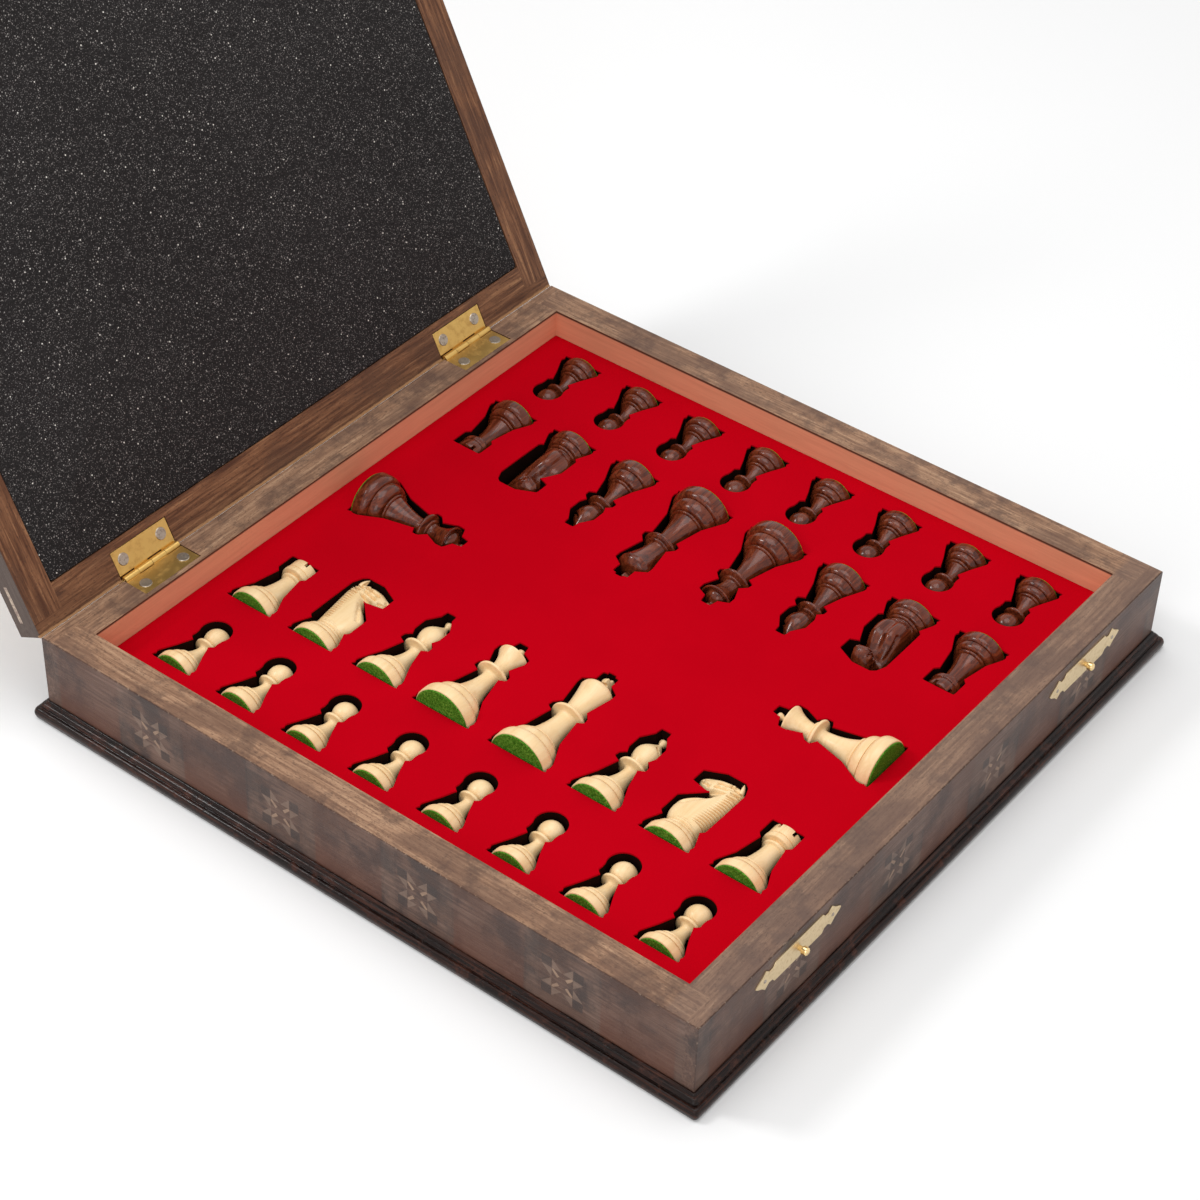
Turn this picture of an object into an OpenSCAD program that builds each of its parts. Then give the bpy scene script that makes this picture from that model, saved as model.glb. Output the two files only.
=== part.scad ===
// Chess box with a hinged lid, its foam insert and its 34 chessmen.
// Millimetres. X runs along the hinges, the latches face -Y and Z is up.
// The origin is the centre of the face that the base rests on.
// The lid is drawn open, where its stop hinges hold it.

/* [Base] */
// Width and depth of the square base, outside its walls
box_w = 400; // [390:5:440]
// Height of the base, from the table to its top edge
base_h = 52; // [50:1:70]
// Thickness of the four walls
wall_t = 18.5; // [17:0.5:20]
// Thickness of the lip that covers the end grain of the side walls
corner_lip = 7; // [5:0.5:9]
// Small chamfer along the outer top edges of the base
edge_break = 0.6; // [0.3:0.1:1.2]
// Thickness of the bottom panel
bottom_t = 5; // [4:0.5:6]
// Height of the bottom panel's underside above the table
bottom_z = 3; // [2:0.5:3.5]
// Depth of the groove that the bottom panel sits in
groove_d = 6; // [4:0.5:8]

/* [Skirt moulding] */
// Height of the moulding
skirt_h = 11; // [9:0.5:14]
// How far the moulding stands out from the walls
skirt_out = 6; // [5.5:0.5:8]

/* [Insert] */
// Depth of the red sheet below the top edge of the base
recess = 16.6; // [14:0.2:18]
// Thickness of the red flocked sheet
flock_t = 1; // [0.6:0.2:2]
// Clearance between a chessman and the edge of its cavity
cavity_gap = 0.6; // [0.5:0.1:1]
// Clearance under a chessman, above the floor of its cavity
floor_gap = 0.3; // [0.2:0.1:0.6]
// Clearance between the foam and the walls
foam_gap = 0.3; // [0.2:0.1:0.6]
// Shift of all the cavities toward the dark men's side
layout_shift_x = 4; // [0:0.5:5]
// Shift of all the cavities toward the hinges
layout_shift_y = 1.5; // [0:0.5:3]

/* [Layout of the men] */
// Distance from the side wall's inner face to the base of a piece
piece_from_wall = 74.4; // [72:0.1:77]
// Distance from the side wall's inner face to the base of a pawn
pawn_from_wall = 16.6; // [14:0.1:20]
// Distance from the front wall's inner face to the axis of the row's end pawn
end_pawn_from_wall = 31.35; // [28:0.05:35]
// Distance from the front wall's inner face to the base of an extra queen
extra_queen_from_wall = 17.2; // [15:0.1:22]
// How far outward from its pawn's axis a rook lies
rook_offset = 1.85; // [0:0.05:4]
// How far outward from its pawn's axis a knight lies
knight_offset = 3.45; // [0:0.05:5]
// How far outward from its pawn's axis a bishop lies
bishop_offset = 3.55; // [0:0.05:5]
// How far outward from its pawn's axis a queen lies
queen_offset = 3.75; // [0:0.05:5]
// How far outward from its pawn's axis a king lies
king_offset = 1.05; // [0:0.05:5]
// How far the dark knights have rolled in their cavities, noses upward
dark_knight_rolls = [80, 52]; // [0:1:85]

/* [Chessmen] */
// Height of a king with its cross
king_h = 75.5; // [70:0.5:77]
// Height of a queen
queen_h = 64.5; // [60:0.5:66]
// Height of a bishop
bishop_h = 59.2; // [56:0.2:62]
// Height of a knight
knight_h = 54; // [52:0.5:56]
// Height of a rook
rook_h = 42.5; // [40:0.5:45]
// Height of a pawn
pawn_h = 38.8; // [36:0.2:40]
// Base diameter of a king or a queen
royal_base_d = 34; // [31:0.5:35]
// Base diameter of a bishop
bishop_base_d = 27.6; // [25:0.2:29]
// Base diameter of a knight or a rook
officer_base_d = 27.6; // [25:0.2:29]
// Base diameter of a pawn
pawn_base_d = 23.6; // [22:0.2:25]
// Thickness of the green felt under each base
pad_t = 0.8; // [0.5:0.1:1]

/* [Lid] */
// Angle from closed to where the stop hinges hold the lid
lid_angle = 117; // [95:1:120]
// Thickness of the lid
lid_t = 17.5; // [16:0.5:22]
// Gap between the closed lid and the base
seam = 0.6; // [0.4:0.1:1]
// Width of the front and side rails, on the inside of the lid
rail_w = 18.5; // [17:0.5:20]
// Width of the rear rail, on the inside of the lid
rear_rail_w = 20.5; // [19:0.5:22]
// Width of the border that the rails leave round the board
board_border = 14.5; // [12:0.5:16]
// Thickness of the board panel
board_t = 5; // [4:0.5:6]
// Bare strip between the squares and the border
board_margin = 5.5; // [3:0.5:9]
// Thickness of the inlaid squares
veneer_t = 0.8; // [0.6:0.1:1.5]
// Chamfer round the lid's outer face
lid_chamfer = 1.5; // [0.5:0.5:2]
// Chamfer along the lid's rear lower edge, where its stain has worn off
worn_edge = 1; // [0.5:0.1:1.4]

/* [Hinges] */
// Distance of each hinge and each latch from the middle of the box
fitting_x = 124.2; // [110:0.2:135]
// Length of a hinge
hinge_l = 38.4; // [34:0.4:50]
// Number of knuckles, taken in turn by the base and the lid
knuckles = 4; // [3:1:7]
// Radius of the barrel
barrel_r = 2.1; // [1.9:0.1:2.3]
// Radius of the pin
pin_r = 0.9; // [0.7:0.1:1.1]
// Running clearance of the pin in the knuckles
pin_gap = 0.05; // [0.03:0.01:0.08]
// Gap between neighbouring knuckles
knuckle_gap = 0.2; // [0.1:0.05:0.4]
// Depth of the pin's axis below the top edge of the base
pin_drop = 0.6; // [0.4:0.1:0.8]
// Width of a leaf, from the pin's axis to its edge
leaf_w = 15.6; // [14:0.2:16]
// Thickness of a leaf
leaf_t = 1.6; // [1.4:0.1:1.8]
// Depth of the base's leaf below the top edge of the base
leaf_sink = 0.4; // [0.3:0.1:0.5]
// Depth of the lid's leaf inside the lid's face
lid_leaf_sink = 0.2; // [0.1:0.1:0.4]
// How far the stop tails reach from the pin's axis
tail_r = 6; // [5:0.5:8]
// Thickness of the stop tails
tail_t = 1.2; // [1:0.1:1.5]

/* [Nails and pins] */
// Radius of a hinge nail's head
nail_head_r = 3.4; // [2.5:0.1:3.6]
// Thickness of a hinge nail's head
nail_head_t = 0.4; // [0.3:0.05:0.45]
// Radius of a hinge nail's shank
nail_r = 1; // [0.8:0.1:1.2]
// Length of a hinge nail's shank
nail_l = 9; // [7:0.5:11]
// Distance of a nail from the hinge's middle
nail_x = 13.3; // [11:0.1:14]
// Distance of a nail from the pin's axis
nail_y = 9.4; // [8:0.1:10]
// Radius of a latch plate pin's head
plate_pin_head_r = 1.1; // [0.9:0.1:1.3]
// Radius of a latch plate pin's shank
plate_pin_r = 0.6; // [0.5:0.1:0.7]
// Length of a latch plate pin
plate_pin_l = 7; // [5:0.5:9]

/* [Latches] */
// Length of a latch plate
plate_l = 66.6; // [62:0.2:70]
// Height of a latch plate
plate_h = 12.2; // [10:0.2:13]
// Thickness of a latch plate
plate_t = 0.6; // [0.5:0.1:0.8]
// Distance of a latch plate's pins from its middle
plate_pin_x = 26.4; // [25.6:0.1:28]
// Depth of the stud plate's middle below the top edge of the base
stud_drop = 11.4; // [9:0.2:14]
// Radius of the stud's neck
stud_neck_r = 1.3; // [1:0.1:1.5]
// Radius of the stud's head
stud_head_r = 2.15; // [2:0.05:2.6]
// Length of the stud's head
stud_head_l = 3.4; // [2.5:0.1:4]
// Thickness of a hook
hook_t = 1.2; // [1:0.1:1.5]
// Half the width of a hook's arm
hook_half_w = 3.4; // [3:0.1:3.8]
// Clearance of a hook to the plates, the stud's neck and the heads
hook_gap = 0.3; // [0.2:0.05:0.4]

/* [Hidden] */
$fn = 64;
half_w = box_w / 2;
inner_half = half_w - wall_t;
red_z = base_h - recess;
foam_top = red_z - flock_t;
foam_bottom = bottom_z + bottom_t;
lid_bottom = base_h + seam;
lid_top = lid_bottom + lid_t;
panel_bottom = lid_top - board_t;
panel_half = half_w - board_border;
squares_half = panel_half - board_margin;
squares = 8;
square_w = 2 * squares_half / squares;
pin_z = base_h - pin_drop;
// Heights measured from the pin's axis, with the lid closed
base_leaf_top = pin_drop - leaf_sink;
base_leaf_bottom = base_leaf_top - leaf_t;
lid_leaf_face = pin_drop + seam + lid_leaf_sink;
lid_leaf_back = lid_leaf_face + leaf_t;
mortise_gap = 0.4;
knuckle_l = hinge_l / knuckles;
leaf_notch = barrel_r + 0.3;
tail_gap = 0.1;
stud_z = base_h - stud_drop;
hook_z = lid_bottom + lid_t / 2;
hook_reach = hook_z - stud_z;
stud_neck_l = plate_t + hook_t + 2 * hook_gap;
stud_root_l = 8;
slot_r = stud_neck_r + hook_gap;
hook_tip_r = 3.7;
rivet_head_r = 2.6;
rivet_head_t = 0.8;
cut = 1;

KINDS = ["king", "queen", "bishop", "knight", "rook", "pawn"];

// ---------------------------------------------------------------- helpers

// A box given by its lowest and its highest corner
module block(low, high) {
    translate(low) cube(high - low);
}

// Points along an arc in a profile, from angle a to angle b
function arc(centre, r, a, b, steps = 6) =
    [for (i = [0:steps]) let (t = a + (b - a) * i / steps) centre + r * [cos(t), sin(t)]];

function left_normal(a, b) = let (e = b - a) [-e[1], e[0]] / norm(e);

// A closed clockwise outline with every edge moved outward by d, and mitred corners
function grown(points, d) =
    let (n = len(points))
    [for (i = [0:n - 1])
        let (
            into = left_normal(points[(i + n - 1) % n], points[i]),
            away = left_normal(points[i], points[(i + 1) % n])
        )
        points[i] + (into + away) * d / (1 + into * away)];

// A half outline of [along, across] points, closed by its mirror image
function both_sides(half) =
    concat(half, [for (i = [len(half) - 1:-1:0]) [half[i][0], -half[i][1]]]);

// Turns pieces drawn on the closed lid to where the open lid holds them
module on_open_lid() {
    translate([0, half_w, pin_z])
        rotate([-lid_angle, 0, 0])
            translate([0, -half_w, -pin_z])
                children();
}

// Repeats its children at the left and the right fitting
module at_fittings() {
    for (side = [-1, 1])
        translate([side * fitting_x, 0, 0])
            children();
}

// Prisms that chamfer the four upper edges of a square block by leg
module edge_prisms(z, leg) {
    for (turn = [0:3])
        rotate([0, 0, 90 * turn])
            translate([0, -half_w, z])
                rotate([45, 0, 0])
                    cube([box_w + 2 * cut, leg * sqrt(2), leg * sqrt(2)], center = true);
}

// ------------------------------------------------------------- base walls

// Plan of a long board, on the -Y side, rabbeted where it laps the side boards
module lapped_plan(thickness, side_thickness) {
    difference() {
        translate([-half_w, -half_w]) square([box_w, thickness]);
        for (side = [-1, 1])
            translate([side * (half_w - side_thickness / 2), -half_w + corner_lip + thickness / 2])
                square([side_thickness, thickness], center = true);
    }
}

// Plan of a side board, on the -X side, between the lips of the long boards
module butted_plan(thickness) {
    translate([-half_w, -half_w + corner_lip]) square([thickness, box_w - 2 * corner_lip]);
}

module bottom_groove() {
    reach = inner_half + groove_d;
    block([-reach, -reach, bottom_z], [reach, reach, bottom_z + bottom_t]);
}

module wall_board() {
    difference() {
        linear_extrude(base_h) children();
        bottom_groove();
        edge_prisms(base_h, edge_break);
    }
}

module front_wall() {
    color("saddlebrown")
        difference() {
            wall_board() lapped_plan(wall_t, wall_t);
            at_fittings()
                translate([0, -half_w, stud_z]) {
                    stud_shape();
                    plate_pins();
                }
        }
}

module rear_wall() {
    color("saddlebrown")
        difference() {
            wall_board() mirror([0, 1]) lapped_plan(wall_t, wall_t);
            at_fittings()
                translate([0, half_w, pin_z]) {
                    leaf_pocket(base_leaf_bottom, base_leaf_top + leaf_t + cut);
                    barrel(barrel_r + mortise_gap, hinge_l + 2 * mortise_gap);
                    hinge_nails(base_leaf_top);
                }
        }
}

module left_wall() {
    color("saddlebrown") wall_board() butted_plan(wall_t);
}

module right_wall() {
    color("saddlebrown") wall_board() mirror([1, 0]) butted_plan(wall_t);
}

module bottom_panel() {
    reach = inner_half + groove_d - foam_gap;
    color("tan") block([-reach, -reach, bottom_z], [reach, reach, bottom_z + bottom_t]);
}

// --------------------------------------------------------- skirt moulding

// Section of the moulding: across from the wall, up from the table.
// A large round bead, a groove, a smaller bead and a thin fillet at the top.
function skirt_section() =
    let (
        bead = [skirt_out - 3.1, 3.3],
        small = [skirt_out - 4.1, 7.7]
    )
    concat(
        [[0, 0], [skirt_out - 0.9, 0]],
        arc(bead, 3.1, -55, 75),
        arc(small, 1.7, -30, 80, 4),
        [[skirt_out - 4.4, 9.7], [skirt_out - 4.6, skirt_h - 0.3], [skirt_out - 5, skirt_h], [0, skirt_h]]
    );

module skirt_strip() {
    reach = half_w + skirt_out;
    intersection() {
        translate([-reach, -half_w, 0])
            rotate([90, 0, 90])
                linear_extrude(2 * reach)
                    mirror([1, 0]) polygon(skirt_section());
        linear_extrude(skirt_h + cut)
            polygon([[0, 0], [-reach, -reach], [reach, -reach]]);
    }
}

module base_moulding() {
    color("#2a1712")
        for (turn = [0:3])
            rotate([0, 0, 90 * turn])
                skirt_strip();
}

// ------------------------------------------------------- chessmen: tables

// Each kind of man: height, base radius, rise of its base above the red sheet,
// height of the rim, height and radius of the shoulder, length of the head
// above the collar, neck radius and collar radius
function kind_row(kind) =
    kind == "king" ? [king_h, royal_base_d / 2, 11.2, 5, 18, 9.8, 35.5, 5.9, 10.2] :
    kind == "queen" ? [queen_h, royal_base_d / 2, 12.4, 5, 17.5, 9.6, 24.8, 4.6, 9.4] :
    kind == "bishop" ? [bishop_h, bishop_base_d / 2, 6.7, 4.2, 15.5, 7.8, 27, 3.6, 8.4] :
    kind == "knight" ? [knight_h, officer_base_d / 2, 5.5, 4.2, 12.5, 9.4, 36, 9, 9] :
    kind == "rook" ? [rook_h, officer_base_d / 2, 6.5, 4.2, 13.5, 8.6, 12, 5.3, 7] :
    [pawn_h, pawn_base_d / 2, 4.4, 3.6, 12.2, 6.8, 14.5, 3.2, 6.7];

function height(k) = k[0];
function base_r(k) = k[1];
function axis_depth(k) = k[1] - k[2];
function rim_h(k) = k[3];
function shoulder_h(k) = k[4];
function shoulder_r(k) = k[5];
function collar_h(k) = k[0] - k[6];
function neck_r(k) = k[7];
function collar_r(k) = k[8];

ball_r = 6.9;
crown_r = 10;
coronet_r = 9;
mitre_r = 7.3;
turret_r = 8.7;
turret_h = 9;
finial_r = 2.3;
cross_half_w = 4.2;
cross_t = 3.4;
knight_half_t = 6.8;

// ----------------------------------------------------- chessmen: profiles

// Turned profile of the foot: rim, two rounds with a notch between them, and a fine ring
function foot_rounds(k) =
    let (
        notch_h = rim_h(k) + (shoulder_h(k) - rim_h(k)) / 3,
        notch_r = base_r(k) - (base_r(k) - shoulder_r(k)) * 0.45,
        ring_r = shoulder_r(k) + 0.8,
        ring_h = shoulder_h(k) - 2
    )
    concat(
        [[0, pad_t], [base_r(k) - 0.5, pad_t], [base_r(k), pad_t + 0.7], [base_r(k), rim_h(k)]],
        [for (i = [1:4]) let (t = 22.5 * i)
            [notch_r + (base_r(k) - notch_r) * cos(t), rim_h(k) + (notch_h - rim_h(k)) * sin(t)]],
        [for (i = [0:4]) let (t = 22.5 * i)
            [ring_r + (notch_r + 0.3 - ring_r) * cos(t), notch_h + 0.4 + (ring_h - notch_h - 0.4) * sin(t)]],
        [[ring_r, shoulder_h(k) - 0.9], [shoulder_r(k), shoulder_h(k)]]
    );

// The same with the hollow stem up to the neck
function foot_profile(k) =
    let (low = shoulder_h(k) + 0.3, high = collar_h(k) - 2.4, stem_r = shoulder_r(k) - 0.5)
    concat(
        foot_rounds(k),
        [for (i = [0:6]) let (t = i / 6)
            [neck_r(k) + (stem_r - neck_r(k)) * pow(1 - t, 2), low + (high - low) * t]]
    );

// The collar: the wide thin disc, and a bead on it where the head is long enough
function collar_profile(k, beaded = true) =
    let (h = collar_h(k), r = collar_r(k), n = neck_r(k))
    concat(
        [[n + 1, h - 1.2], [r - 0.4, h - 0.9], [r, h - 0.4], [r, h + 0.5], [r - 0.7, h + 0.9]],
        beaded ? [[n + 2.2, h + 1.6], [n + 2.3, h + 2.6], [n + 1, h + 3]] : []
    );

// Hollow flare from the collar out to a crown of radius r at height top, straighter where hollow is near 1
function flare(k, r, top, hollow) =
    let (low = collar_h(k) + 4, waist_r = neck_r(k) + 0.4)
    [for (i = [0:5]) let (t = i / 5) [waist_r + (r - waist_r) * pow(t, hollow), low + (top - low) * t]];

function king_profile(k) =
    let (rim = height(k) - 14)
    concat(
        foot_profile(k), collar_profile(k), flare(k, crown_r, rim, 1.5),
        [for (i = [0:4]) let (t = 20 * i) [crown_r * cos(t), rim + 0.7 + 5 * sin(t)]],
        [[2, rim + 6.3], [0, rim + 6.3]]
    );

function queen_profile(k) =
    let (rim = height(k) - 9, ball = [0, height(k) - finial_r])
    concat(
        foot_profile(k), collar_profile(k), flare(k, coronet_r, rim, 2.2),
        [[coronet_r, rim + 0.8], [coronet_r - 1.2, rim + 0.9], [coronet_r - 2.4, rim - 0.3]],
        [for (i = [1:4]) let (t = 19 * i) [(coronet_r - 2.6) * cos(t), rim - 0.2 + 4.4 * sin(t)]],
        arc(ball, finial_r, -55, 90)
    );

// The mitre swells quickly up to its widest place and tapers slowly above it
function bishop_profile(k) =
    let (low = collar_h(k) + 5, high = height(k) - 2 * finial_r, ball = [0, height(k) - finial_r], widest = 0.38)
    concat(
        foot_profile(k), collar_profile(k),
        [for (i = [0:10]) let (t = i / 10, swell = sin(180 * (0.19 + 0.81 * t)))
            [1.4 + (mitre_r - 1.4) * pow(swell, t < widest ? 0.75 : 1.3), low + (high - low) * t]],
        arc(ball, finial_r, -50, 90)
    );

function rook_profile(k) =
    let (low = height(k) - turret_h, n = neck_r(k))
    concat(
        foot_profile(k),
        [[n, low - 3.4], [n + 1.3, low - 2.8], [n + 1.3, low - 1.4], [n + 0.6, low - 1]],
        [[turret_r - 0.6, low - 0.4], [turret_r, low + 0.2], [turret_r, low + 2.6], [turret_r - 0.5, low + 2.9]],
        [[turret_r - 0.3, height(k)], [turret_r - 2.6, height(k)], [turret_r - 2.8, height(k) - 3]],
        [[0, height(k) - 2.4]]
    );

function pawn_profile(k) =
    concat(
        foot_profile(k), collar_profile(k, false),
        arc([0, height(k) - ball_r], ball_r, -60, 90, 12)
    );

function knight_base_profile(k) =
    let (top = shoulder_h(k) + 4)
    concat(
        foot_rounds(k),
        [[shoulder_r(k) + 0.5, top - 3], [shoulder_r(k) + 0.5, top - 1.2], [shoulder_r(k) - 0.4, top], [0, top]]
    );

// ------------------------------------------------------- chessmen: solids

module turned(profile) {
    rotate_extrude() polygon(profile);
}

// Cross with flared arms, drawn in the plane of its arms
module cross_finial(k) {
    low = height(k) - 7.4;
    middle = height(k) - 3.7;
    rotate([90, 0, 0])
        translate([0, 0, -cross_t / 2])
            linear_extrude(cross_t)
                polygon(concat(
                    [for (p = [[1.9, low], [1.1, middle - 0.9], [cross_half_w, middle - 1.8],
                               [cross_half_w, middle + 1.8], [1.1, middle + 0.9], [1.9, height(k)]])
                        p],
                    [for (p = [[-1.9, height(k)], [-1.1, middle + 0.9], [-cross_half_w, middle + 1.8],
                               [-cross_half_w, middle - 1.8], [-1.1, middle - 0.9], [-1.9, low]])
                        p]
                ));
}

// Side view of the knight's neck and head, the nose toward +X, from the base upward
function knight_side(k) =
    let (top = height(k), low = shoulder_h(k) + 3)
    [
        [-9, low], [-9.8, top - 33], [-11, top - 24], [-12.2, top - 14], [-12.3, top - 7],
        [-10.4, top - 1.8], [-8.2, top], [-4.6, top - 2.6], [2, top - 3.6], [8.4, top - 5],
        [12.1, top - 7.5], [12.3, top - 11.2], [10, top - 12.9], [4.8, top - 12.6], [0.6, top - 15.2],
        [3.8, top - 20.5], [9.8, top - 27], [11, top - 32], [9.4, low]
    ];

// Front view of the same: half widths up the neck and the head
function knight_front(k) =
    let (top = height(k), low = shoulder_h(k) + 3)
    both_sides([
        [low, 8.4], [top - 30, knight_half_t + 0.4], [top - 20, knight_half_t], [top - 12, knight_half_t - 0.6],
        [top - 6, 5], [top - 2, 3.6], [top, 2.6]
    ]);

module knight_head(k) {
    intersection() {
        rotate([90, 0, 0])
            translate([0, 0, -base_r(k)])
                linear_extrude(2 * base_r(k))
                    polygon(knight_side(k));
        rotate([0, -90, 0])
            translate([0, 0, -base_r(k) - cut])
                linear_extrude(2 * (base_r(k) + cut))
                    polygon(knight_front(k));
    }
}

// Slanted cut in the bishop's mitre
module mitre_cut(k) {
    translate([3.4, 0, height(k) - 12])
        rotate([0, 35, 0])
            cube([8, 4 * mitre_r, 1.1], center = true);
}

// Slots between the rook's battlements
module battlement_cuts(k) {
    for (turn = [0:2])
        rotate([0, 0, 60 * turn])
            translate([0, 0, height(k)])
                cube([4 * turret_r, 2.2, 4.4], center = true);
}

// A man that stands on the origin
module standing_man(kind) {
    k = kind_row(kind);
    cylinder(h = pad_t, r = base_r(k) - 0.8);
    if (kind == "king") {
        turned(king_profile(k));
        cross_finial(k);
    } else if (kind == "queen") {
        turned(queen_profile(k));
    } else if (kind == "bishop") {
        difference() {
            turned(bishop_profile(k));
            mitre_cut(k);
        }
    } else if (kind == "knight") {
        turned(knight_base_profile(k));
        knight_head(k);
    } else if (kind == "rook") {
        difference() {
            turned(rook_profile(k));
            battlement_cuts(k);
        }
    } else {
        turned(pawn_profile(k));
    }
}

// ------------------------------------------------------ chessmen: cavities

// Outline of a man from above, coarse and without its rings, base at 0 and head toward +X.
// A knight's has its mane toward +Y, with room for it to roll, and a spur under its jaw that is
// shorter the further that its knight has rolled.
function plan_outline(kind) =
    let (k = kind_row(kind), h = height(k), c = collar_h(k))
    let (foot = [[0, base_r(k)], [rim_h(k) + 0.8, base_r(k)], [shoulder_h(k) + 1, shoulder_r(k) + 0.8]])
    let (collar = [[c - 3.4, neck_r(k) + 1.4], [c - 1.4, collar_r(k)], [c + 1.4, collar_r(k)]])
    kind == "king" ? both_sides(concat(foot, collar, [
        [c + 5, neck_r(k) + 1], [h - 15, crown_r], [h - 11.4, crown_r],
        [h - 7.6, cross_half_w], [h - 1.6, cross_half_w], [h - 1.2, 1.9], [h, 1.9]
    ])) :
    kind == "queen" ? both_sides(concat(foot, collar, [
        [c + 5, neck_r(k) + 1], [h - 11.4, coronet_r], [h - 7.6, coronet_r], [h - 5, 3.4], [h, 2.4]
    ])) :
    kind == "bishop" ? both_sides(concat(foot, collar, [
        [c + 4, neck_r(k) + 2], [c + 8, mitre_r], [c + 16, mitre_r], [h - 4, 2.8], [h, 2.4]
    ])) :
    kind == "knight" ? concat(
        foot,
        [[shoulder_h(k) + 3, 12.2], [h - 24, 12.4], [h - 7, 12.5], [h - 1.8, 10.4], [h, 8.2]],
        [[h, -2], [h - 5, -12.4], [h - 13, -12.4], [h - 15.2, -max(1.2, (knight_half_t + 1) * sin($roll))]],
        [[h - 26, -12.2], [shoulder_h(k) + 3, -12.2]],
        [for (i = [2:-1:0]) [foot[i][0], -foot[i][1]]]
    ) :
    kind == "rook" ? both_sides(concat(foot, [
        [h - turret_h - 3.4, neck_r(k) + 1.2], [h - turret_h - 1, turret_r], [h, turret_r]
    ])) :
    let (ball_x = h - ball_r, round_r = ball_r + 1)
    both_sides(concat(foot, [
        [c - 3.4, neck_r(k) + 1.4], [c - 1.4, collar_r(k)], [c + 1, collar_r(k)],
        for (i = [0:4]) let (t = 118 - 25 * i) [ball_x + round_r * cos(t), round_r * sin(t)]
    ]));

// How far a man's head and collar reach to the side of its axis
function head_reach(kind) =
    kind == "king" ? collar_r(kind_row(kind)) :
    kind == "queen" ? collar_r(kind_row(kind)) :
    kind == "bishop" ? collar_r(kind_row(kind)) :
    kind == "knight" ? base_r(kind_row(kind)) :
    kind == "rook" ? turret_r :
    ball_r;

// Depths below the red sheet of a cavity's two floors: under the head, and under the base
function head_floor(kind) = axis_depth(kind_row(kind)) + head_reach(kind) + floor_gap;
function base_floor(kind) = axis_depth(kind_row(kind)) + base_r(kind_row(kind)) + floor_gap;

// Plan of one man's cavity
module cavity_plan(kind) {
    polygon(grown(plan_outline(kind), cavity_gap));
}

// Plan of the deep part of the cavity, which takes the base
module base_plan(kind) {
    k = kind_row(kind);
    intersection() {
        cavity_plan(kind);
        translate([-2 * cut, -2 * base_r(k)]) square([shoulder_h(k) + 2 + 2 * cut, 4 * base_r(k)]);
    }
}

// -------------------------------------------------------- chessmen: layout

// Spacing of the eight rows, spread between the end pawns
row_pitch = (inner_half - end_pawn_from_wall) / 3.5;

// The 17 men of a side: name, kind, place of the base, heading, roll about the man's own axis that
// lifts its nose, and 1 where it lies the other way round, so that all noses point to the middle
function side_men(side) =
    let (rolls = side == "dark" ? dark_knight_rolls : [0, 0], piece_x = inner_half - piece_from_wall)
    concat(
        [
            ["king", "king", [-piece_x, -(row_pitch / 2 + king_offset)], 0, 0, 0],
            ["queen", "queen", [-piece_x, row_pitch / 2 + queen_offset], 0, 0, 0],
            ["extra_queen", "queen", [0, extra_queen_from_wall - inner_half], 90, 0, 0],
            ["bishop_1", "bishop", [-piece_x, 1.5 * row_pitch + bishop_offset], 0, 0, 0],
            ["bishop_2", "bishop", [-piece_x, -(1.5 * row_pitch + bishop_offset)], 0, 0, 0],
            ["knight_1", "knight", [-piece_x, 2.5 * row_pitch + knight_offset], 0, rolls[0], 0],
            ["knight_2", "knight", [-piece_x, -(2.5 * row_pitch + knight_offset)], 0, rolls[1], 1],
            ["rook_1", "rook", [-piece_x, 3.5 * row_pitch + rook_offset], 0, 0, 0],
            ["rook_2", "rook", [-piece_x, -(3.5 * row_pitch + rook_offset)], 0, 0, 0]
        ],
        [for (i = [1:8]) [str("pawn_", i), "pawn", [pawn_from_wall - inner_half, row_pitch * (4.5 - i)], 0, 0, 0]]
    );

// Places children, drawn with the base at 0, the head toward +X and the nose toward -Y, where a man
// of this side lies
module at_man(side, man) {
    $roll = man[4];
    translate([layout_shift_x, layout_shift_y])
        rotate(side == "dark" ? 180 : 0)
            translate(man[2])
                rotate(man[3])
                    mirror([0, man[5]])
                        children();
}

module chessman(side, name) {
    for (man = side_men(side))
        if (man[0] == name)
            color(side == "light" ? "burlywood" : "sienna")
                translate([0, 0, red_z - axis_depth(kind_row(man[1]))])
                    at_man(side, man)
                        rotate([-90 - $roll, 0, 0])
                            rotate([0, 90, 0])
                                standing_man(man[1]);
}

// Repeats children, the plan of one cavity, for every man of a kind
module at_all_men(kind) {
    for (side = ["light", "dark"])
        for (man = side_men(side))
            if (man[1] == kind)
                at_man(side, man)
                    children();
}

module foam_block() {
    reach = inner_half - foam_gap;
    color("#141414")
        difference() {
            block([-reach, -reach, foam_bottom], [reach, reach, foam_top]);
            for (kind = KINDS) {
                translate([0, 0, red_z - head_floor(kind)])
                    linear_extrude(head_floor(kind))
                        at_all_men(kind) cavity_plan(kind);
                if (base_floor(kind) > head_floor(kind))
                    translate([0, 0, red_z - base_floor(kind)])
                        linear_extrude(base_floor(kind) - head_floor(kind))
                            at_all_men(kind) base_plan(kind);
            }
        }
}

module felt_sheet() {
    reach = inner_half - foam_gap;
    color("crimson")
        translate([0, 0, foam_top])
            linear_extrude(flock_t)
                difference() {
                    square(2 * reach, center = true);
                    for (kind = KINDS)
                        at_all_men(kind) cavity_plan(kind);
                }
}

// -------------------------------------------------------------------- lid

module lid_board(thickness = lid_t) {
    difference() {
        translate([0, 0, lid_bottom]) linear_extrude(thickness) children();
        block([-panel_half, -panel_half, panel_bottom], [panel_half, panel_half, lid_top + cut]);
        edge_prisms(lid_top, lid_chamfer);
    }
}

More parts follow.
